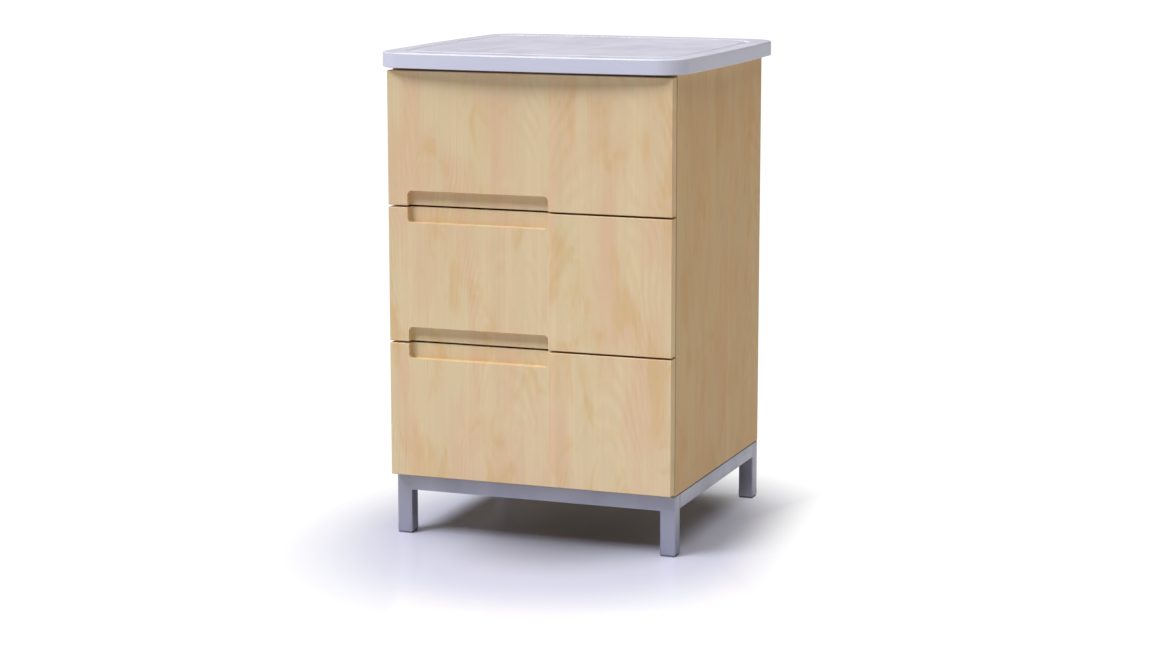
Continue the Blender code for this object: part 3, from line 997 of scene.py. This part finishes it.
# ------------------------------------------------------------------ small hardware
@dataclass(frozen=True)
class PanScrew:
    """A pan-head screw with a cross recess, its head towards +Z from the origin."""

    radius: float = 0.0045
    height: float = 0.0024
    crown: float = 0.62
    shank: float = 0.0019
    length: float = 0.010
    tip: float = 0.25
    slot_wide: float = 0.0009
    slot_long: float = 0.0050
    slot_deep: float = 0.0013

    def build(self, name: str) -> Piece:
        """Turn the head and cut its recess.

        Args:
            name: The screw's name.

        Returns:
            The screw, at the origin.
        """
        head = Bench.rod(name, self.radius, (0, 0, 0), (0, 0, self.height), 32)
        with Bench.editing(head):
            Bench.bevel(head, self.height * self.crown, 5,
                        lambda edge, middle: middle.z > self.height - TOUCH)
            Bench.pick(head, Element.FACE, lambda face, middle: middle.z < TOUCH)
            bpy.ops.mesh.inset(thickness=self.radius - self.shank)
            Bench.extrude(z=-self.length)
            bpy.ops.transform.resize(value=(self.tip, self.tip, 1.0),
                                     center_override=(0, 0, -self.length))
        for wide, deep in ((self.slot_wide, self.slot_long), (self.slot_long, self.slot_wide)):
            Bench.cut(head, Bench.block("cross_recess",
                                        (-wide / 2, -deep / 2, self.height - self.slot_deep),
                                        (wide / 2, deep / 2, self.height * 2)))
        Bench.mend(head)
        Bench.smooth(head)
        return head

    def many(self, name: str, places: Sequence[Triple], facing: Triple) -> Piece:
        """Make one screw and copy it to every place, joined as one piece.

        Args:
            name: The piece's name.
            places: Where the underside of each head sits.
            facing: The way the heads look.

        Returns:
            The screws as one piece.
        """
        first = self.build(name)
        turn = Vector((0, 0, 1)).rotation_difference(Vector(facing))
        first.data.transform(turn.to_matrix().to_4x4())
        return Bench.scatter(first, name, places)


# ------------------------------------------------------------------ worktop
@dataclass
class Worktop:
    """The bowed worktop with rounded corners and a shallow ring groove."""

    end_bow: float = 0.0113
    side_bow: float = 0.008
    corner_radius: float = 0.041
    corner_steps: int = 16
    upper_round: float = 0.003
    lower_round: float = 0.0012
    groove_from_sides: float = 0.025
    groove_from_ends: float = 0.038
    groove_width: float = 0.012
    groove_depth: float = 0.0024
    groove_steepness: float = 2.2
    groove_steps: int = 12
    arc_steps: int = 24

    @staticmethod
    def arc(chord: float, rise: float) -> tuple[float, float]:
        """The radius and the angle of an arc with half a chord and a rise."""
        radius = (chord ** 2 + rise ** 2) / (2 * rise)
        return radius, 2 * math.asin(chord / radius)

    def outline(self, half: Vector, height: float) -> Piece:
        """Spin the four bowed edges from one point, and round their corners.

        Args:
            half: Half the width and half the depth over the crowns.
            height: The underside's height.

        Returns:
            The flat outline, filled with one face.
        """
        corner_x = half.x - self.side_bow
        corner_y = half.y - self.end_bow * (corner_x / half.x) ** 2
        front, front_angle = self.arc(corner_x, half.y - corner_y)
        side, side_angle = self.arc(corner_y, half.x - corner_x)
        Bench.clear()
        bpy.ops.mesh.primitive_plane_add(size=0.1)
        board = Bench.settle("worktop_board")

        def reach(place: Vector) -> float:
            """How far a point is from the nearest corner."""
            return math.hypot(abs(place.x) - corner_x, abs(place.y) - corner_y)

        with Bench.editing(board):
            Bench.take_all()
            bpy.ops.mesh.merge(type="CENTER")
            bpy.ops.transform.translate(value=(-corner_x, -corner_y, height))
            for x, y, angle in ((0, front - half.y, front_angle),
                                (half.x - side, 0, side_angle),
                                (0, half.y - front, front_angle),
                                (side - half.x, 0, side_angle)):
                bpy.ops.mesh.spin(steps=self.arc_steps, angle=angle, center=(x, y, height),
                                  axis=(0, 0, -1))
            Bench.take_all()
            bpy.ops.mesh.remove_doubles(threshold=NEAR)
            bpy.ops.mesh.edge_face_add()
            Bench.pick(board, Element.POINT,
                       lambda point, place: NEAR < reach(place) < 1.2 * self.corner_radius)
            bpy.ops.mesh.dissolve_verts()
            Bench.pick(board, Element.POINT, lambda point, place: reach(place) < NEAR)
            bpy.ops.mesh.bevel(offset=self.corner_radius, segments=self.corner_steps,
                               affect="VERTICES")
        return board

    def ring(self, board: Piece, half: Vector, inward: float, height: float) -> None:
        """Draw the upper face in to a ring at a distance and a height.

        Args:
            board: The worktop being edited, its upper face selected.
            half: Half the width and half the depth over the crowns.
            inward: Distance in from the groove's outer edge.
            height: Height of the new ring.
        """
        Bench.extrude()
        picked = [point.co.copy() for point in bmesh.from_edit_mesh(board.data).verts
                  if point.select]
        level = picked[0].z
        scale = ((half.x - self.groove_from_sides - inward) / max(at.x for at in picked),
                 (half.y - self.groove_from_ends - inward) / max(at.y for at in picked), 1.0)
        bpy.ops.transform.resize(value=scale, center_override=(0, 0, level))
        bpy.ops.transform.translate(value=(0, 0, height - level))

    def board(self) -> Piece:
        """Raise the board, round its edges and sink the groove.

        Returns:
            The worktop.
        """
        low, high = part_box("worktop")
        board = self.outline(high, low.z)
        with Bench.editing(board):
            Bench.take_all()
            Bench.extrude(z=high.z - low.z)
            Bench.take_all()
            bpy.ops.mesh.normals_make_consistent(inside=False)
            for level, radius, segments in ((high.z, self.upper_round, 6),
                                            (low.z, self.lower_round, 3)):
                Bench.bevel(board, radius, segments, lambda edge, middle, level=level:
                            abs(middle.z - level) < TOUCH)
            Bench.pick(board, Element.FACE,
                       lambda face, middle: face.normal.z > FACING and len(face.verts) > 20)
            for step in range(self.groove_steps + 1):
                share = step / self.groove_steps
                sink = self.groove_depth * min(1.0, self.groove_steepness
                                               * math.sin(math.pi * share) ** 2)
                self.ring(board, high, self.groove_width * share, high.z - sink)
        Bench.smooth_board(board, 30.0)
        return board

    def build(self) -> None:
        """Build the worktop, dress it and ride it on the carcass."""
        Bench.deliver(self.board(), CARCASS, WORKTOP_SATIN, ["worktop"])


# ------------------------------------------------------------------ carcass
@dataclass
class Carcass:
    """The side panels, floor, top rails and back panel, and the front bumpers."""

    edge_round: float = 0.0008
    back_clearance: float = 0.0003
    bumper_radius: float = 0.004
    bumper_height: float = 0.0024
    bumper_above: float = 0.03
    bumper_below: float = 0.012

    def board(self, name: str, node: str, share: float = 1.0) -> Piece:
        """A board at a node's size; a side panel also gets a groove for the back panel.

        Args:
            name: The piece's name.
            node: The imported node.
            share: Its edge rounding, as a share of the usual.

        Returns:
            The board.
        """
        low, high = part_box(node)
        board = Bench.block(name, low, high)
        if node.startswith("side_panel"):
            back_low, back_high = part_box("back_panel")
            gap = self.back_clearance
            reach = back_high.x + gap
            Bench.cut(board, Bench.block("back_groove", (-reach, back_low.y - gap, low.z - gap),
                                         (reach, back_high.y + gap, high.z + gap)))
        Bench.round_edges(board, self.edge_round * share)
        Bench.smooth_board(board)
        return board

    def bumpers(self) -> Piece:
        """Domed bumpers on the front edges of the sides, two at each side of a drawer.

        Returns:
            The bumpers as one piece.
        """
        low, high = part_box("side_panel_right")
        places = []
        for drawer in DRAWERS:
            front_low, front_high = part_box(f"{drawer}_drawer_front")
            places += [(side * (low.x + high.x) / 2, low.y, height) for side in SIDES.values()
                       for height in (front_low.z + self.bumper_above,
                                      front_high.z - self.bumper_below)]
        first = Bench.ball("bumper", (0, 0, 0),
                           (self.bumper_radius, self.bumper_height, self.bumper_radius), 3)
        with Bench.editing(first):
            Bench.take_all()
            bpy.ops.mesh.bisect(plane_co=(0, 0, 0), plane_no=(0, -1, 0), clear_inner=True,
                                use_fill=True)
        Bench.smooth(first, 50.0)
        return Bench.scatter(first, "front_bumpers", places)

    def build(self) -> None:
        """Build and dress every piece of the carcass."""
        # the side panels wear the maple copy that carries painted shade
        for name, node, share, finish in (
                ("cabinet_side_left", "side_panel_left", 1.0, SHADED_SIDE_MAPLE),
                ("cabinet_side_right", "side_panel_right", 1.0, SHADED_SIDE_MAPLE),
                ("cabinet_floor", "bottom_panel", 1.0, SHELF_MAPLE),
                ("cabinet_rail_front", "top_rail_front", 1.0, SHELF_MAPLE),
                ("cabinet_rail_rear", "top_rail_rear", 1.0, SHELF_MAPLE),
                ("cabinet_back", "back_panel", 0.5, BACK_MAPLE)):
            Bench.deliver(self.board(name, node, share), CARCASS, finish, [node])
        Bench.deliver(self.bumpers(), CARCASS, BLACK_PLASTIC)


# ------------------------------------------------------------------ base
@dataclass
class Base:
    """Two welded U frames and two side rails of square tube, on plastic glides."""

    tube: float = 0.025
    wall: float = 0.0015
    tube_round: float = 0.0022
    rail_bite: float = 0.0003
    plate_leg: float = 0.046
    plate_low: float = 0.0928
    plate_high: float = 0.0958
    plate_corner: float = 0.034
    plate_round: float = 0.004
    hole_radius: float = 0.0026
    bead_radius: float = 0.0016
    bead_pitch: float = 0.0022
    bead_start: float = 0.003
    bead_stop: float = 0.006
    foot: float = 0.0017
    foot_corner: float = 0.002
    foot_round: float = 0.0006
    neck_inset: float = 0.004
    neck_step: float = 0.002
    fin_half: float = 0.0107
    fin_step: float = 0.0018
    fins: int = 3
    screw: PanScrew = PanScrew(shank=0.0020, length=0.014)

    def portal(self, name: str, half: float, near: float, far: float, foot: float,
               underside: float, top: float) -> Piece:
        """An upside-down U, drawn out of one leg: across, then down.

        Args:
            name: The piece's name.
            half: Half its width.
            near: Its lower Y.
            far: Its higher Y.
            foot: Height of its feet.
            underside: Height of the rail's underside.
            top: Height of the rail's top.

        Returns:
            The U.
        """
        leg = top - underside
        part = Bench.block(name, (-half, near, foot), (leg - half, far, top))
        with Bench.editing(part):
            Bench.take_all()
            bpy.ops.mesh.bisect(plane_co=(0, 0, underside), plane_no=(0, 0, 1))
            Bench.pick(part, Element.FACE,
                       lambda face, middle: face.normal.x > FACING and middle.z > underside)
            Bench.extrude(2 * (half - leg))
            Bench.extrude(leg)
            Bench.pick(part, Element.FACE,
                       lambda face, middle: face.normal.z < -FACING and middle.x > half - leg)
            Bench.extrude(z=foot - underside)
        return part

    def plate(self, side: int, weld: float, inward: int, screw: Vector) -> Piece:
        """A corner plate with one corner cut off and a screw hole.

        Args:
            side: -1 for left, 1 for right.
            weld: Y of the tube face it is welded to.
            inward: Which way the cabinet's middle lies along Y.
            screw: Middle of the screw.

        Returns:
            The plate.
        """
        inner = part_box("base_side_rail_right")[0].x
        far_x = side * (inner - self.plate_leg)
        far_y = weld + inward * self.plate_leg
        corners = sorted((side * inner, far_x))
        depths = sorted((weld - inward * self.wall / 2, far_y))
        plate = Bench.block("corner_plate", (corners[0], depths[0], self.plate_low),
                            (corners[1], depths[1], self.plate_high))
        with Bench.editing(plate):
            Bench.bevel(plate, self.plate_corner, 1, lambda edge, middle:
                        abs(middle.x - far_x) < NEAR and abs(middle.y - far_y) < NEAR)
            Bench.bevel(plate, self.plate_round, 4, lambda edge, middle:
                        Bench.span(edge, Axis.Z) > 0.002
                        and (abs(middle.x - far_x) < NEAR or abs(middle.y - far_y) < NEAR))
        Bench.cut(plate, Bench.rod("plate_hole", self.hole_radius,
                                   (screw.x, screw.y, self.plate_low - 0.01),
                                   (screw.x, screw.y, self.plate_high + 0.01)))
        return plate

    def beads(self, name: str, start: Vector, end: Vector) -> list[Piece]:
        """A rippled weld bead between two points, as overlapping drops.

        Args:
            name: Start of the drops' names.
            start: The bead's first point.
            end: Its last point.

        Returns:
            The drops.
        """
        count = max(2, round((end - start).length / self.bead_pitch))
        first = Bench.ball(f"{name}_drop", start, (self.bead_radius,) * 3)
        return [first] + [Bench.copy(first, f"{name}_drop_{number}",
                                     (end - start) * number / count)
                          for number in range(1, count + 1)]

    def frame(self, name: str, inward: int) -> Piece:
        """One hollow U frame with its corner plates and welds.

        Args:
            name: "front" or "rear".
            inward: Which way the cabinet's middle lies along Y.

        Returns:
            The frame.
        """
        low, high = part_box(f"base_frame_{name}")
        edge = low.y if inward > 0 else high.y
        weld = edge + inward * self.tube
        near, far = sorted((edge, weld))
        underside = high.z - self.tube
        frame_piece = self.portal(f"base_portal_{name}", high.x, near, far, low.z, underside,
                                  high.z)
        Bench.round_edges(frame_piece, self.tube_round, 4)
        Bench.cut(frame_piece, self.portal(
            "tube_bore", high.x - self.wall, near + self.wall, far - self.wall,
            low.z - self.tube, underside + self.wall, high.z - self.wall))
        extras = []
        for side_name, side in SIDES.items():
            screw_low, screw_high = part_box(f"base_screw_{name}_{side_name}")
            extras.append(self.plate(side, weld, inward, (screw_low + screw_high) / 2))
            corner = Vector((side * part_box("base_side_rail_right")[0].x, weld, self.plate_low))
            for run, way in (("a", Vector((-side, 0, 0))), ("b", Vector((0, inward, 0)))):
                extras += self.beads(f"weld_{name}_{side_name}_{run}",
                                     corner + way * self.bead_start,
                                     corner + way * (self.plate_leg - self.bead_stop))
        whole = Bench.together(f"base_portal_{name}", [frame_piece, *extras])
        Bench.smooth(whole, 35.0)
        return whole

    def rail(self, side_name: str) -> Piece:
        """A side rail, brought up to the legs it is welded to.

        Args:
            side_name: "left" or "right".

        Returns:
            The rail.
        """
        low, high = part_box(f"base_side_rail_{side_name}")
        halfway = (low.y + high.y) / 2
        rail = Bench.block(f"base_runner_{side_name}", low, high)
        with Bench.editing(rail):
            Bench.bevel(rail, self.tube_round, 4,
                        lambda edge, middle: abs(middle.y - halfway) < NEAR)
            Bench.pick(rail, Element.FACE, lambda face, middle: abs(face.normal.y) > FACING)
            bpy.ops.mesh.inset(thickness=self.wall)
            bpy.ops.mesh.bridge_edge_loops()
            for sign in (-1, 1):
                Bench.pick(rail, Element.POINT, lambda point, place, sign=sign:
                           sign * (place.y - halfway) > 0.01)
                bpy.ops.transform.translate(value=(0, sign * self.rail_bite, 0))
        Bench.mend(rail)
        Bench.smooth(rail, 35.0)
        return rail

    def glide(self, name: str) -> Piece:
        """A leg glide: a square foot with a finned plug above it.

        Args:
            name: The end and side it stands at.

        Returns:
            The glide.
        """
        low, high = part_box(f"glide_{name}")
        foot_top = low.z + self.foot
        middle = (low + high) / 2
        neck = (high.x - low.x) / 2 - self.neck_inset
        glide = Bench.block(f"base_foot_{name}", low, (high.x, high.y, foot_top))
        with Bench.editing(glide):
            Bench.bevel(glide, self.foot_corner, 4,
                        lambda edge, place: Bench.span(edge, Axis.Z) > 0.001)
            Bench.bevel(glide, self.foot_round, 2, lambda edge, place: place.z < low.z + TOUCH)
            Bench.pick(glide, Element.FACE, lambda face, place: place.z > foot_top - TOUCH)
            bpy.ops.mesh.inset(thickness=self.neck_inset)
            for rise, share in ((self.neck_step, self.fin_half / neck),
                                (self.fin_step, neck / self.fin_half)) * self.fins:
                Bench.extrude(z=rise)
                Bench.extrude()
                bpy.ops.transform.resize(value=(share, share, 1),
                                         center_override=(middle.x, middle.y, 0))
        Bench.smooth(glide)
        return glide

    def build(self) -> None:
        """Build and dress the base."""
        for end, inward in ENDS.items():
            Bench.deliver(self.frame(end, inward), CARCASS, BASE_PAINT, [f"base_frame_{end}"])
        for side_name in SIDES:
            Bench.deliver(self.rail(side_name), CARCASS, BASE_PAINT,
                          [f"base_side_rail_{side_name}"])
        for name in (f"{end}_{side_name}" for end in ENDS for side_name in SIDES):
            Bench.deliver(self.glide(name), CARCASS, GREY_PLASTIC, [f"glide_{name}"])
            low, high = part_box(f"base_screw_{name}")
            seat = (low.x / 2 + high.x / 2, low.y / 2 + high.y / 2, self.plate_low)
            fixing = self.screw.many(f"base_fixing_{name}", [seat], (0, 0, -1))
            Bench.deliver(fixing, CARCASS, SCREW_ZINC, [f"base_screw_{name}"])


# ------------------------------------------------------------------ slides
@dataclass(frozen=True)
class Channel:
    """One member of a slide: a folded C of sheet steel, open inwards or outwards."""

    member: Member
    opens_inward: bool
    lip: float


@dataclass
class SlidePair:
    """The three-member ball slides of one drawer."""

    drawer: str
    channels: tuple[Channel, ...] = (Channel(Member.OUTER, True, 0.0022),
                                     Channel(Member.MIDDLE, True, 0.0022),
                                     Channel(Member.INNER, False, 0.0))
    sheet: float = 0.0012
    bend: float = 0.0022
    bend_share: float = 0.9
    slot_radius: float = 0.0024
    slot_reach: float = 0.004
    slot_back: float = 0.005
    slot_shares: tuple[float, ...] = (0.08, 0.36, 0.64, 0.92)
    panel_gap: float = 0.0003
    ball: float = 0.0015
    balls: int = 11
    ball_pitch: float = 0.0125
    ball_start: float = 0.030
    ball_rows: tuple[Span, ...] = ((0.0066, 0.01965), (0.0086, 0.01515))
    screw_shares: tuple[float, ...] = (0.08, 0.50, 0.86)
    screw_ahead: float = 0.012
    screw: PanScrew = PanScrew(radius=0.0034, height=0.0016, shank=0.0016, length=0.009,
                               slot_wide=0.0007, slot_long=0.0038, slot_deep=0.0009)

    def body(self, member: Member) -> str:
        """The body that a member rides on."""
        return {Member.OUTER: CARCASS, Member.MIDDLE: f"{self.drawer}_slide_members",
                Member.INNER: f"{self.drawer}_drawer"}[member]

    def box(self, member: Member) -> tuple[Vector, Vector]:
        """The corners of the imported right-hand member."""
        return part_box(f"{self.drawer}_slide_{member.value}_right")

    def fold(self, channel: Channel) -> Piece:
        """Fold one right-hand member out of a strip, and give it its thickness.

        Args:
            channel: The member's section.

        Returns:
            The member.
        """
        low, high = self.box(channel.member)
        web_x, reach_x = (high.x, low.x) if channel.opens_inward else (low.x, high.x)
        middle = (low + high) / 2
        Bench.clear()
        bpy.ops.mesh.primitive_plane_add(size=1.0, location=(web_x, middle.y, middle.z),
                                         rotation=(0, math.pi / 2, 0))
        bpy.context.active_object.scale = (high.z - low.z, high.y - low.y, 1.0)
        strip = Bench.settle(f"slide_{self.drawer}_{channel.member.value}_right")
        with Bench.editing(strip):
            for level, sign in ((low.z, 1), (high.z, -1)):
                Bench.pick(strip, Element.EDGE, lambda edge, place, level=level:
                           abs(place.z - level) < TOUCH and abs(place.x - web_x) < TOUCH)
                Bench.extrude(reach_x - web_x)
                if channel.lip:
                    Bench.extrude(z=sign * channel.lip)
            Bench.bevel(strip, min(self.bend, channel.lip or self.bend) * self.bend_share, 4,
                        lambda edge, place: edge.is_manifold and edge.calc_face_angle() > 1.0)
            Bench.take_all()
            bpy.ops.mesh.normals_make_consistent(inside=False)
        Bench.modify(strip, "SOLIDIFY", thickness=self.sheet, offset=-1.0,
                     use_even_offset=True)
        heights = [point.co.z for point in strip.data.vertices]
        if max(max(heights) - high.z, low.z - min(heights)) > TOUCH:
            raise ValueError(f"{strip.name} grew out of its box")
        for share in self.slot_shares:
            y = low.y + (high.y - low.y) * share - self.slot_back
            Bench.cut(strip, Bench.rod("slot", self.slot_radius,
                                       (web_x - self.slot_reach, y, middle.z),
                                       (web_x + self.slot_reach, y, middle.z), 16))
        Bench.smooth(strip, 30.0)
        return strip

    def bearings(self) -> Piece:
        """Four rows of bearing balls of the right-hand slide, in the members' gaps.

        Returns:
            The balls as one piece.
        """
        low, high = self.box(Member.OUTER)
        panel = high.x + self.panel_gap
        height = (low.z + high.z) / 2
        first = Bench.ball("bearing", (0, 0, 0), (self.ball,) * 3)
        Bench.smooth(first, 80.0)
        places = [(panel - away, low.y + self.ball_start + number * self.ball_pitch,
                   height + sign * rise)
                  for away, rise in self.ball_rows for sign in (-1, 1)
                  for number in range(self.balls)]
        return Bench.scatter(first, f"slide_{self.drawer}_balls_right", places)

    def screws(self) -> Piece:
        """The screws that hold the right-hand inner member to the drawer box.

        Returns:
            The screws as one piece.
        """
        low, high = self.box(Member.INNER)
        places = [(low.x + self.sheet, low.y + (high.y - low.y) * share + self.screw_ahead,
                   (low.z + high.z) / 2) for share in self.screw_shares]
        return self.screw.many(f"slide_{self.drawer}_screws_right", places, (1, 0, 0))

    def build(self) -> None:
        """Build the right-hand slide, mirror it and dress both."""
        for channel in self.channels:
            Bench.deliver_pair(self.fold(channel), self.body(channel.member), SLIDE_ZINC,
                               f"{self.drawer}_slide_{channel.member.value}")
        balls, screws = self.bearings(), self.screws()
        Bench.deliver_pair(balls, self.body(Member.MIDDLE), SCREW_ZINC)
        Bench.deliver_pair(screws, self.body(Member.INNER), SCREW_ZINC)


# ------------------------------------------------------------------ drawers
@dataclass
class Drawer:
    """A slab front with its finger pulls, and the box behind it."""

    name: str
    pulls: tuple[Pull, ...]
    edge_round: float = 0.0013
    gap_half: float = 0.0015
    pull_left: float = -0.202
    pull_right: float = 0.0335
    pull_above: float = 0.025
    pull_below: float = 0.0255
    pull_depth: float = 0.0125
    pull_radius: float = 0.007
    pull_fillet: float = 0.0008
    pull_round: float = 0.0005
    board: float = 0.012
    board_round: float = 0.0008
    clearance: float = 0.0003
    front_screw_x: float = 0.14
    front_screw_rises: Span = (0.045, 0.105)
    front_screw: PanScrew = PanScrew()
    corner_screw_rises: Span = (0.030, 0.120)
    corner_screw_sink: float = 0.0004
    corner_screw: PanScrew = PanScrew(radius=0.0035, height=0.0009, shank=0.002, length=0.01,
                                      slot_wide=0.0008, slot_long=0.0036, slot_deep=0.0005)

    @property
    def body(self) -> str:
        """The body that the drawer's pieces ride on."""
        return f"{self.name}_drawer"

    def pull_cutter(self, gap: float, face: float) -> Piece:
        """The shape of a finger pull that straddles a gap between fronts.

        Args:
            gap: Height of the gap's middle.
            face: Y of the fronts' outer face.

        Returns:
            The shape to cut.
        """
        floor = face + self.pull_depth
        cutter = Bench.block("finger_pull", (self.pull_left, face - 0.02, gap - self.pull_below),
                             (self.pull_right, floor, gap + self.pull_above))
        with Bench.editing(cutter):
            Bench.bevel(cutter, self.pull_radius, 10,
                        lambda edge, middle: Bench.span(edge, Axis.Y) > 0.01)
            Bench.bevel(cutter, self.pull_fillet, 3,
                        lambda edge, middle: middle.y > floor - TOUCH)
        return cutter

    def front(self) -> Piece:
        """The slab front with its finger pulls routed out.

        Returns:
            The front.
        """
        low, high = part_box(f"{self.name}_drawer_front")
        front = Bench.block(f"front_{self.name}", low, high)
        Bench.round_edges(front, self.edge_round, 4)
        for pull in self.pulls:
            edge = low.z if pull is Pull.LOWER else high.z
            Bench.cut(front, self.pull_cutter(edge + pull.value * self.gap_half, low.y))
        Bench.mend(front)
        Bench.round_edges(front, self.pull_round, 2, 60.0)
        Bench.smooth_board(front, 30.0)
        return front

    def box_board(self, part: str, grooved: bool) -> Piece:
        """One board of the box, grooved for the box's bottom where it needs it.

        Args:
            part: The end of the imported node's name.
            grooved: Whether the bottom panel runs into it.

        Returns:
            The board.
        """
        board = Bench.block(f"{part}_{self.name}", *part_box(f"{self.name}_{part}"))
        if grooved:
            floor_low, floor_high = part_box(f"{self.name}_box_bottom")
            gap = Vector((self.clearance,) * 3)
            Bench.cut(board, Bench.block("groove", floor_low - gap, floor_high + gap))
        Bench.round_edges(board, self.board_round, 2)
        Bench.smooth_board(board)
        return board

    def front_screws(self) -> Piece:
        """The screws inside the box that hold the slab front.

        Returns:
            The screws as one piece.
        """
        low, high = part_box(f"{self.name}_box_front")
        places = [(x, high.y, low.z + rise) for x in (-self.front_screw_x, self.front_screw_x)
                  for rise in self.front_screw_rises]
        return self.front_screw.many(f"front_screws_{self.name}", places, (0, 1, 0))

    def corner_screws(self) -> Piece:
        """Flat-topped screws through a box side into the box's front and back.

        Returns:
            The right-hand screws as one piece.
        """
        low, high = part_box(f"{self.name}_box_side_right")
        places = [(high.x - self.corner_screw_sink, y, low.z + rise)
                  for y in (low.y + self.board / 2, high.y - self.board / 2)
                  for rise in self.corner_screw_rises]
        return self.corner_screw.many(f"box_screws_{self.name}_right", places, (1, 0, 0))

    def build(self) -> None:
        """Build and dress the drawer and its slides."""
        Bench.deliver(self.front(), self.body, FRONT_MAPLE, [f"{self.name}_drawer_front"])
        for part, grooved, finish in (("box_side_left", True, BOX_BIRCH_LONG),
                                      ("box_side_right", True, BOX_BIRCH_LONG),
                                      ("box_front", True, BOX_BIRCH_WIDE),
                                      ("box_back", False, BOX_BIRCH_WIDE),
                                      ("box_bottom", False, BOX_BIRCH_FLOOR)):
            Bench.deliver(self.box_board(part, grooved), self.body, finish,
                          [f"{self.name}_{part}"])
        Bench.deliver(self.front_screws(), self.body, SCREW_ZINC)
        Bench.deliver_pair(self.corner_screws(), self.body, SCREW_ZINC)
        SlidePair(self.name).build()


# ------------------------------------------------------------------ studio
@dataclass(frozen=True)
class Lamp:
    """A soft sun: its azimuth to the left of the front, height and width in degrees."""

    name: str
    strength: float
    azimuth: float
    height: float
    softness: float
    colour: Colour


@dataclass
class Studio:
    """The pale floor, the soft lights and the camera."""

    floor_half: float = 60.0
    floor_cuts: int = 7
    eye: tuple[float, float, float] = (1.4936, -4.0373, 1.0564)
    look: tuple[float, float, float] = (-0.34177, 0.92421, -0.17041)
    lens: float = 82.2
    sensor: float = 36.0
    sky: Colour = (1.0, 0.94, 0.86)
    sky_strength: float = 0.11
    lamps: tuple[Lamp, ...] = (
        Lamp("key_light", 2.37, 36.0, 53.0, 25.0, (0.90, 0.93, 1.05)),
        Lamp("overhead_light", 2.78, 20.0, 84.0, 75.0, (0.96, 0.97, 1.02)))

    def floor(self) -> None:
        """A wide floor plane, cut into smaller faces, in the studio floor's finish."""
        Bench.clear()
        bpy.ops.mesh.primitive_plane_add(size=2 * self.floor_half)
        floor = Bench.settle("studio_floor")
        with Bench.editing(floor):
            Bench.take_all()
            bpy.ops.mesh.subdivide(number_cuts=self.floor_cuts)
        floor.data.materials.append(StudioFloor().material())

    @staticmethod
    def stand(name: str, data: bpy.types.ID, place: Triple, turn: object) -> Piece:
        """Put a light or a camera in the scene.

        Args:
            name: Its name.
            data: Its light or camera data.
            place: Where it stands.
            turn: Its turn, a quaternion.

        Returns:
            The light or camera.
        """
        thing = bpy.data.objects.new(name, data)
        thing.location = place
        thing.rotation_mode = "QUATERNION"
        thing.rotation_quaternion = turn
        bpy.context.scene.collection.objects.link(thing)
        return thing

    def sun(self, lamp: Lamp) -> None:
        """A soft light from one direction.

        Args:
            lamp: The light's settings.
        """
        turn, rise = math.radians(lamp.azimuth), math.radians(lamp.height)
        source = Vector((-math.sin(turn) * math.cos(rise), -math.cos(turn) * math.cos(rise),
                         math.sin(rise)))
        data = bpy.data.lights.new(lamp.name, "SUN")
        data.energy = lamp.strength
        data.angle = math.radians(lamp.softness)
        data.color = lamp.colour
        self.stand(lamp.name, data, source * 5, source.to_track_quat("Z", "Y"))

    def world(self) -> None:
        """An even pale sky."""
        world = bpy.data.worlds.new("studio_world")
        world.use_nodes = True
        background = world.node_tree.nodes["Background"]
        background.inputs["Color"].default_value = (*self.sky, 1.0)
        background.inputs["Strength"].default_value = self.sky_strength
        bpy.context.scene.world = world

    def camera(self) -> None:
        """The camera, turned along its line of sight."""
        data = bpy.data.cameras.new("studio_camera")
        data.lens = self.lens
        data.sensor_width = self.sensor
        data.sensor_fit = "HORIZONTAL"
        data.clip_end = 200.0
        bpy.context.scene.camera = self.stand("studio_camera", data, self.eye,
                                              Vector(self.look).to_track_quat("-Z", "Y"))

    def build(self) -> None:
        """Set up the floor, sky, lights and camera."""
        self.floor()
        self.world()
        for lamp in self.lamps:
            self.sun(lamp)
        self.camera()
        bpy.context.scene.view_settings.view_transform = "Standard"


def main() -> None:
    """Build the studio and the cabinet, sub-assembly by sub-assembly."""
    logging.basicConfig(level=logging.INFO, format="%(name)s %(message)s")
    Studio().build()
    Worktop().build()
    Carcass().build()
    Base().build()
    for name, pulls in zip(DRAWERS, ((Pull.UPPER,), (Pull.LOWER, Pull.UPPER),
                                     (Pull.LOWER,))):
        Drawer(name, pulls).build()


if __name__ == "__main__":
    main()
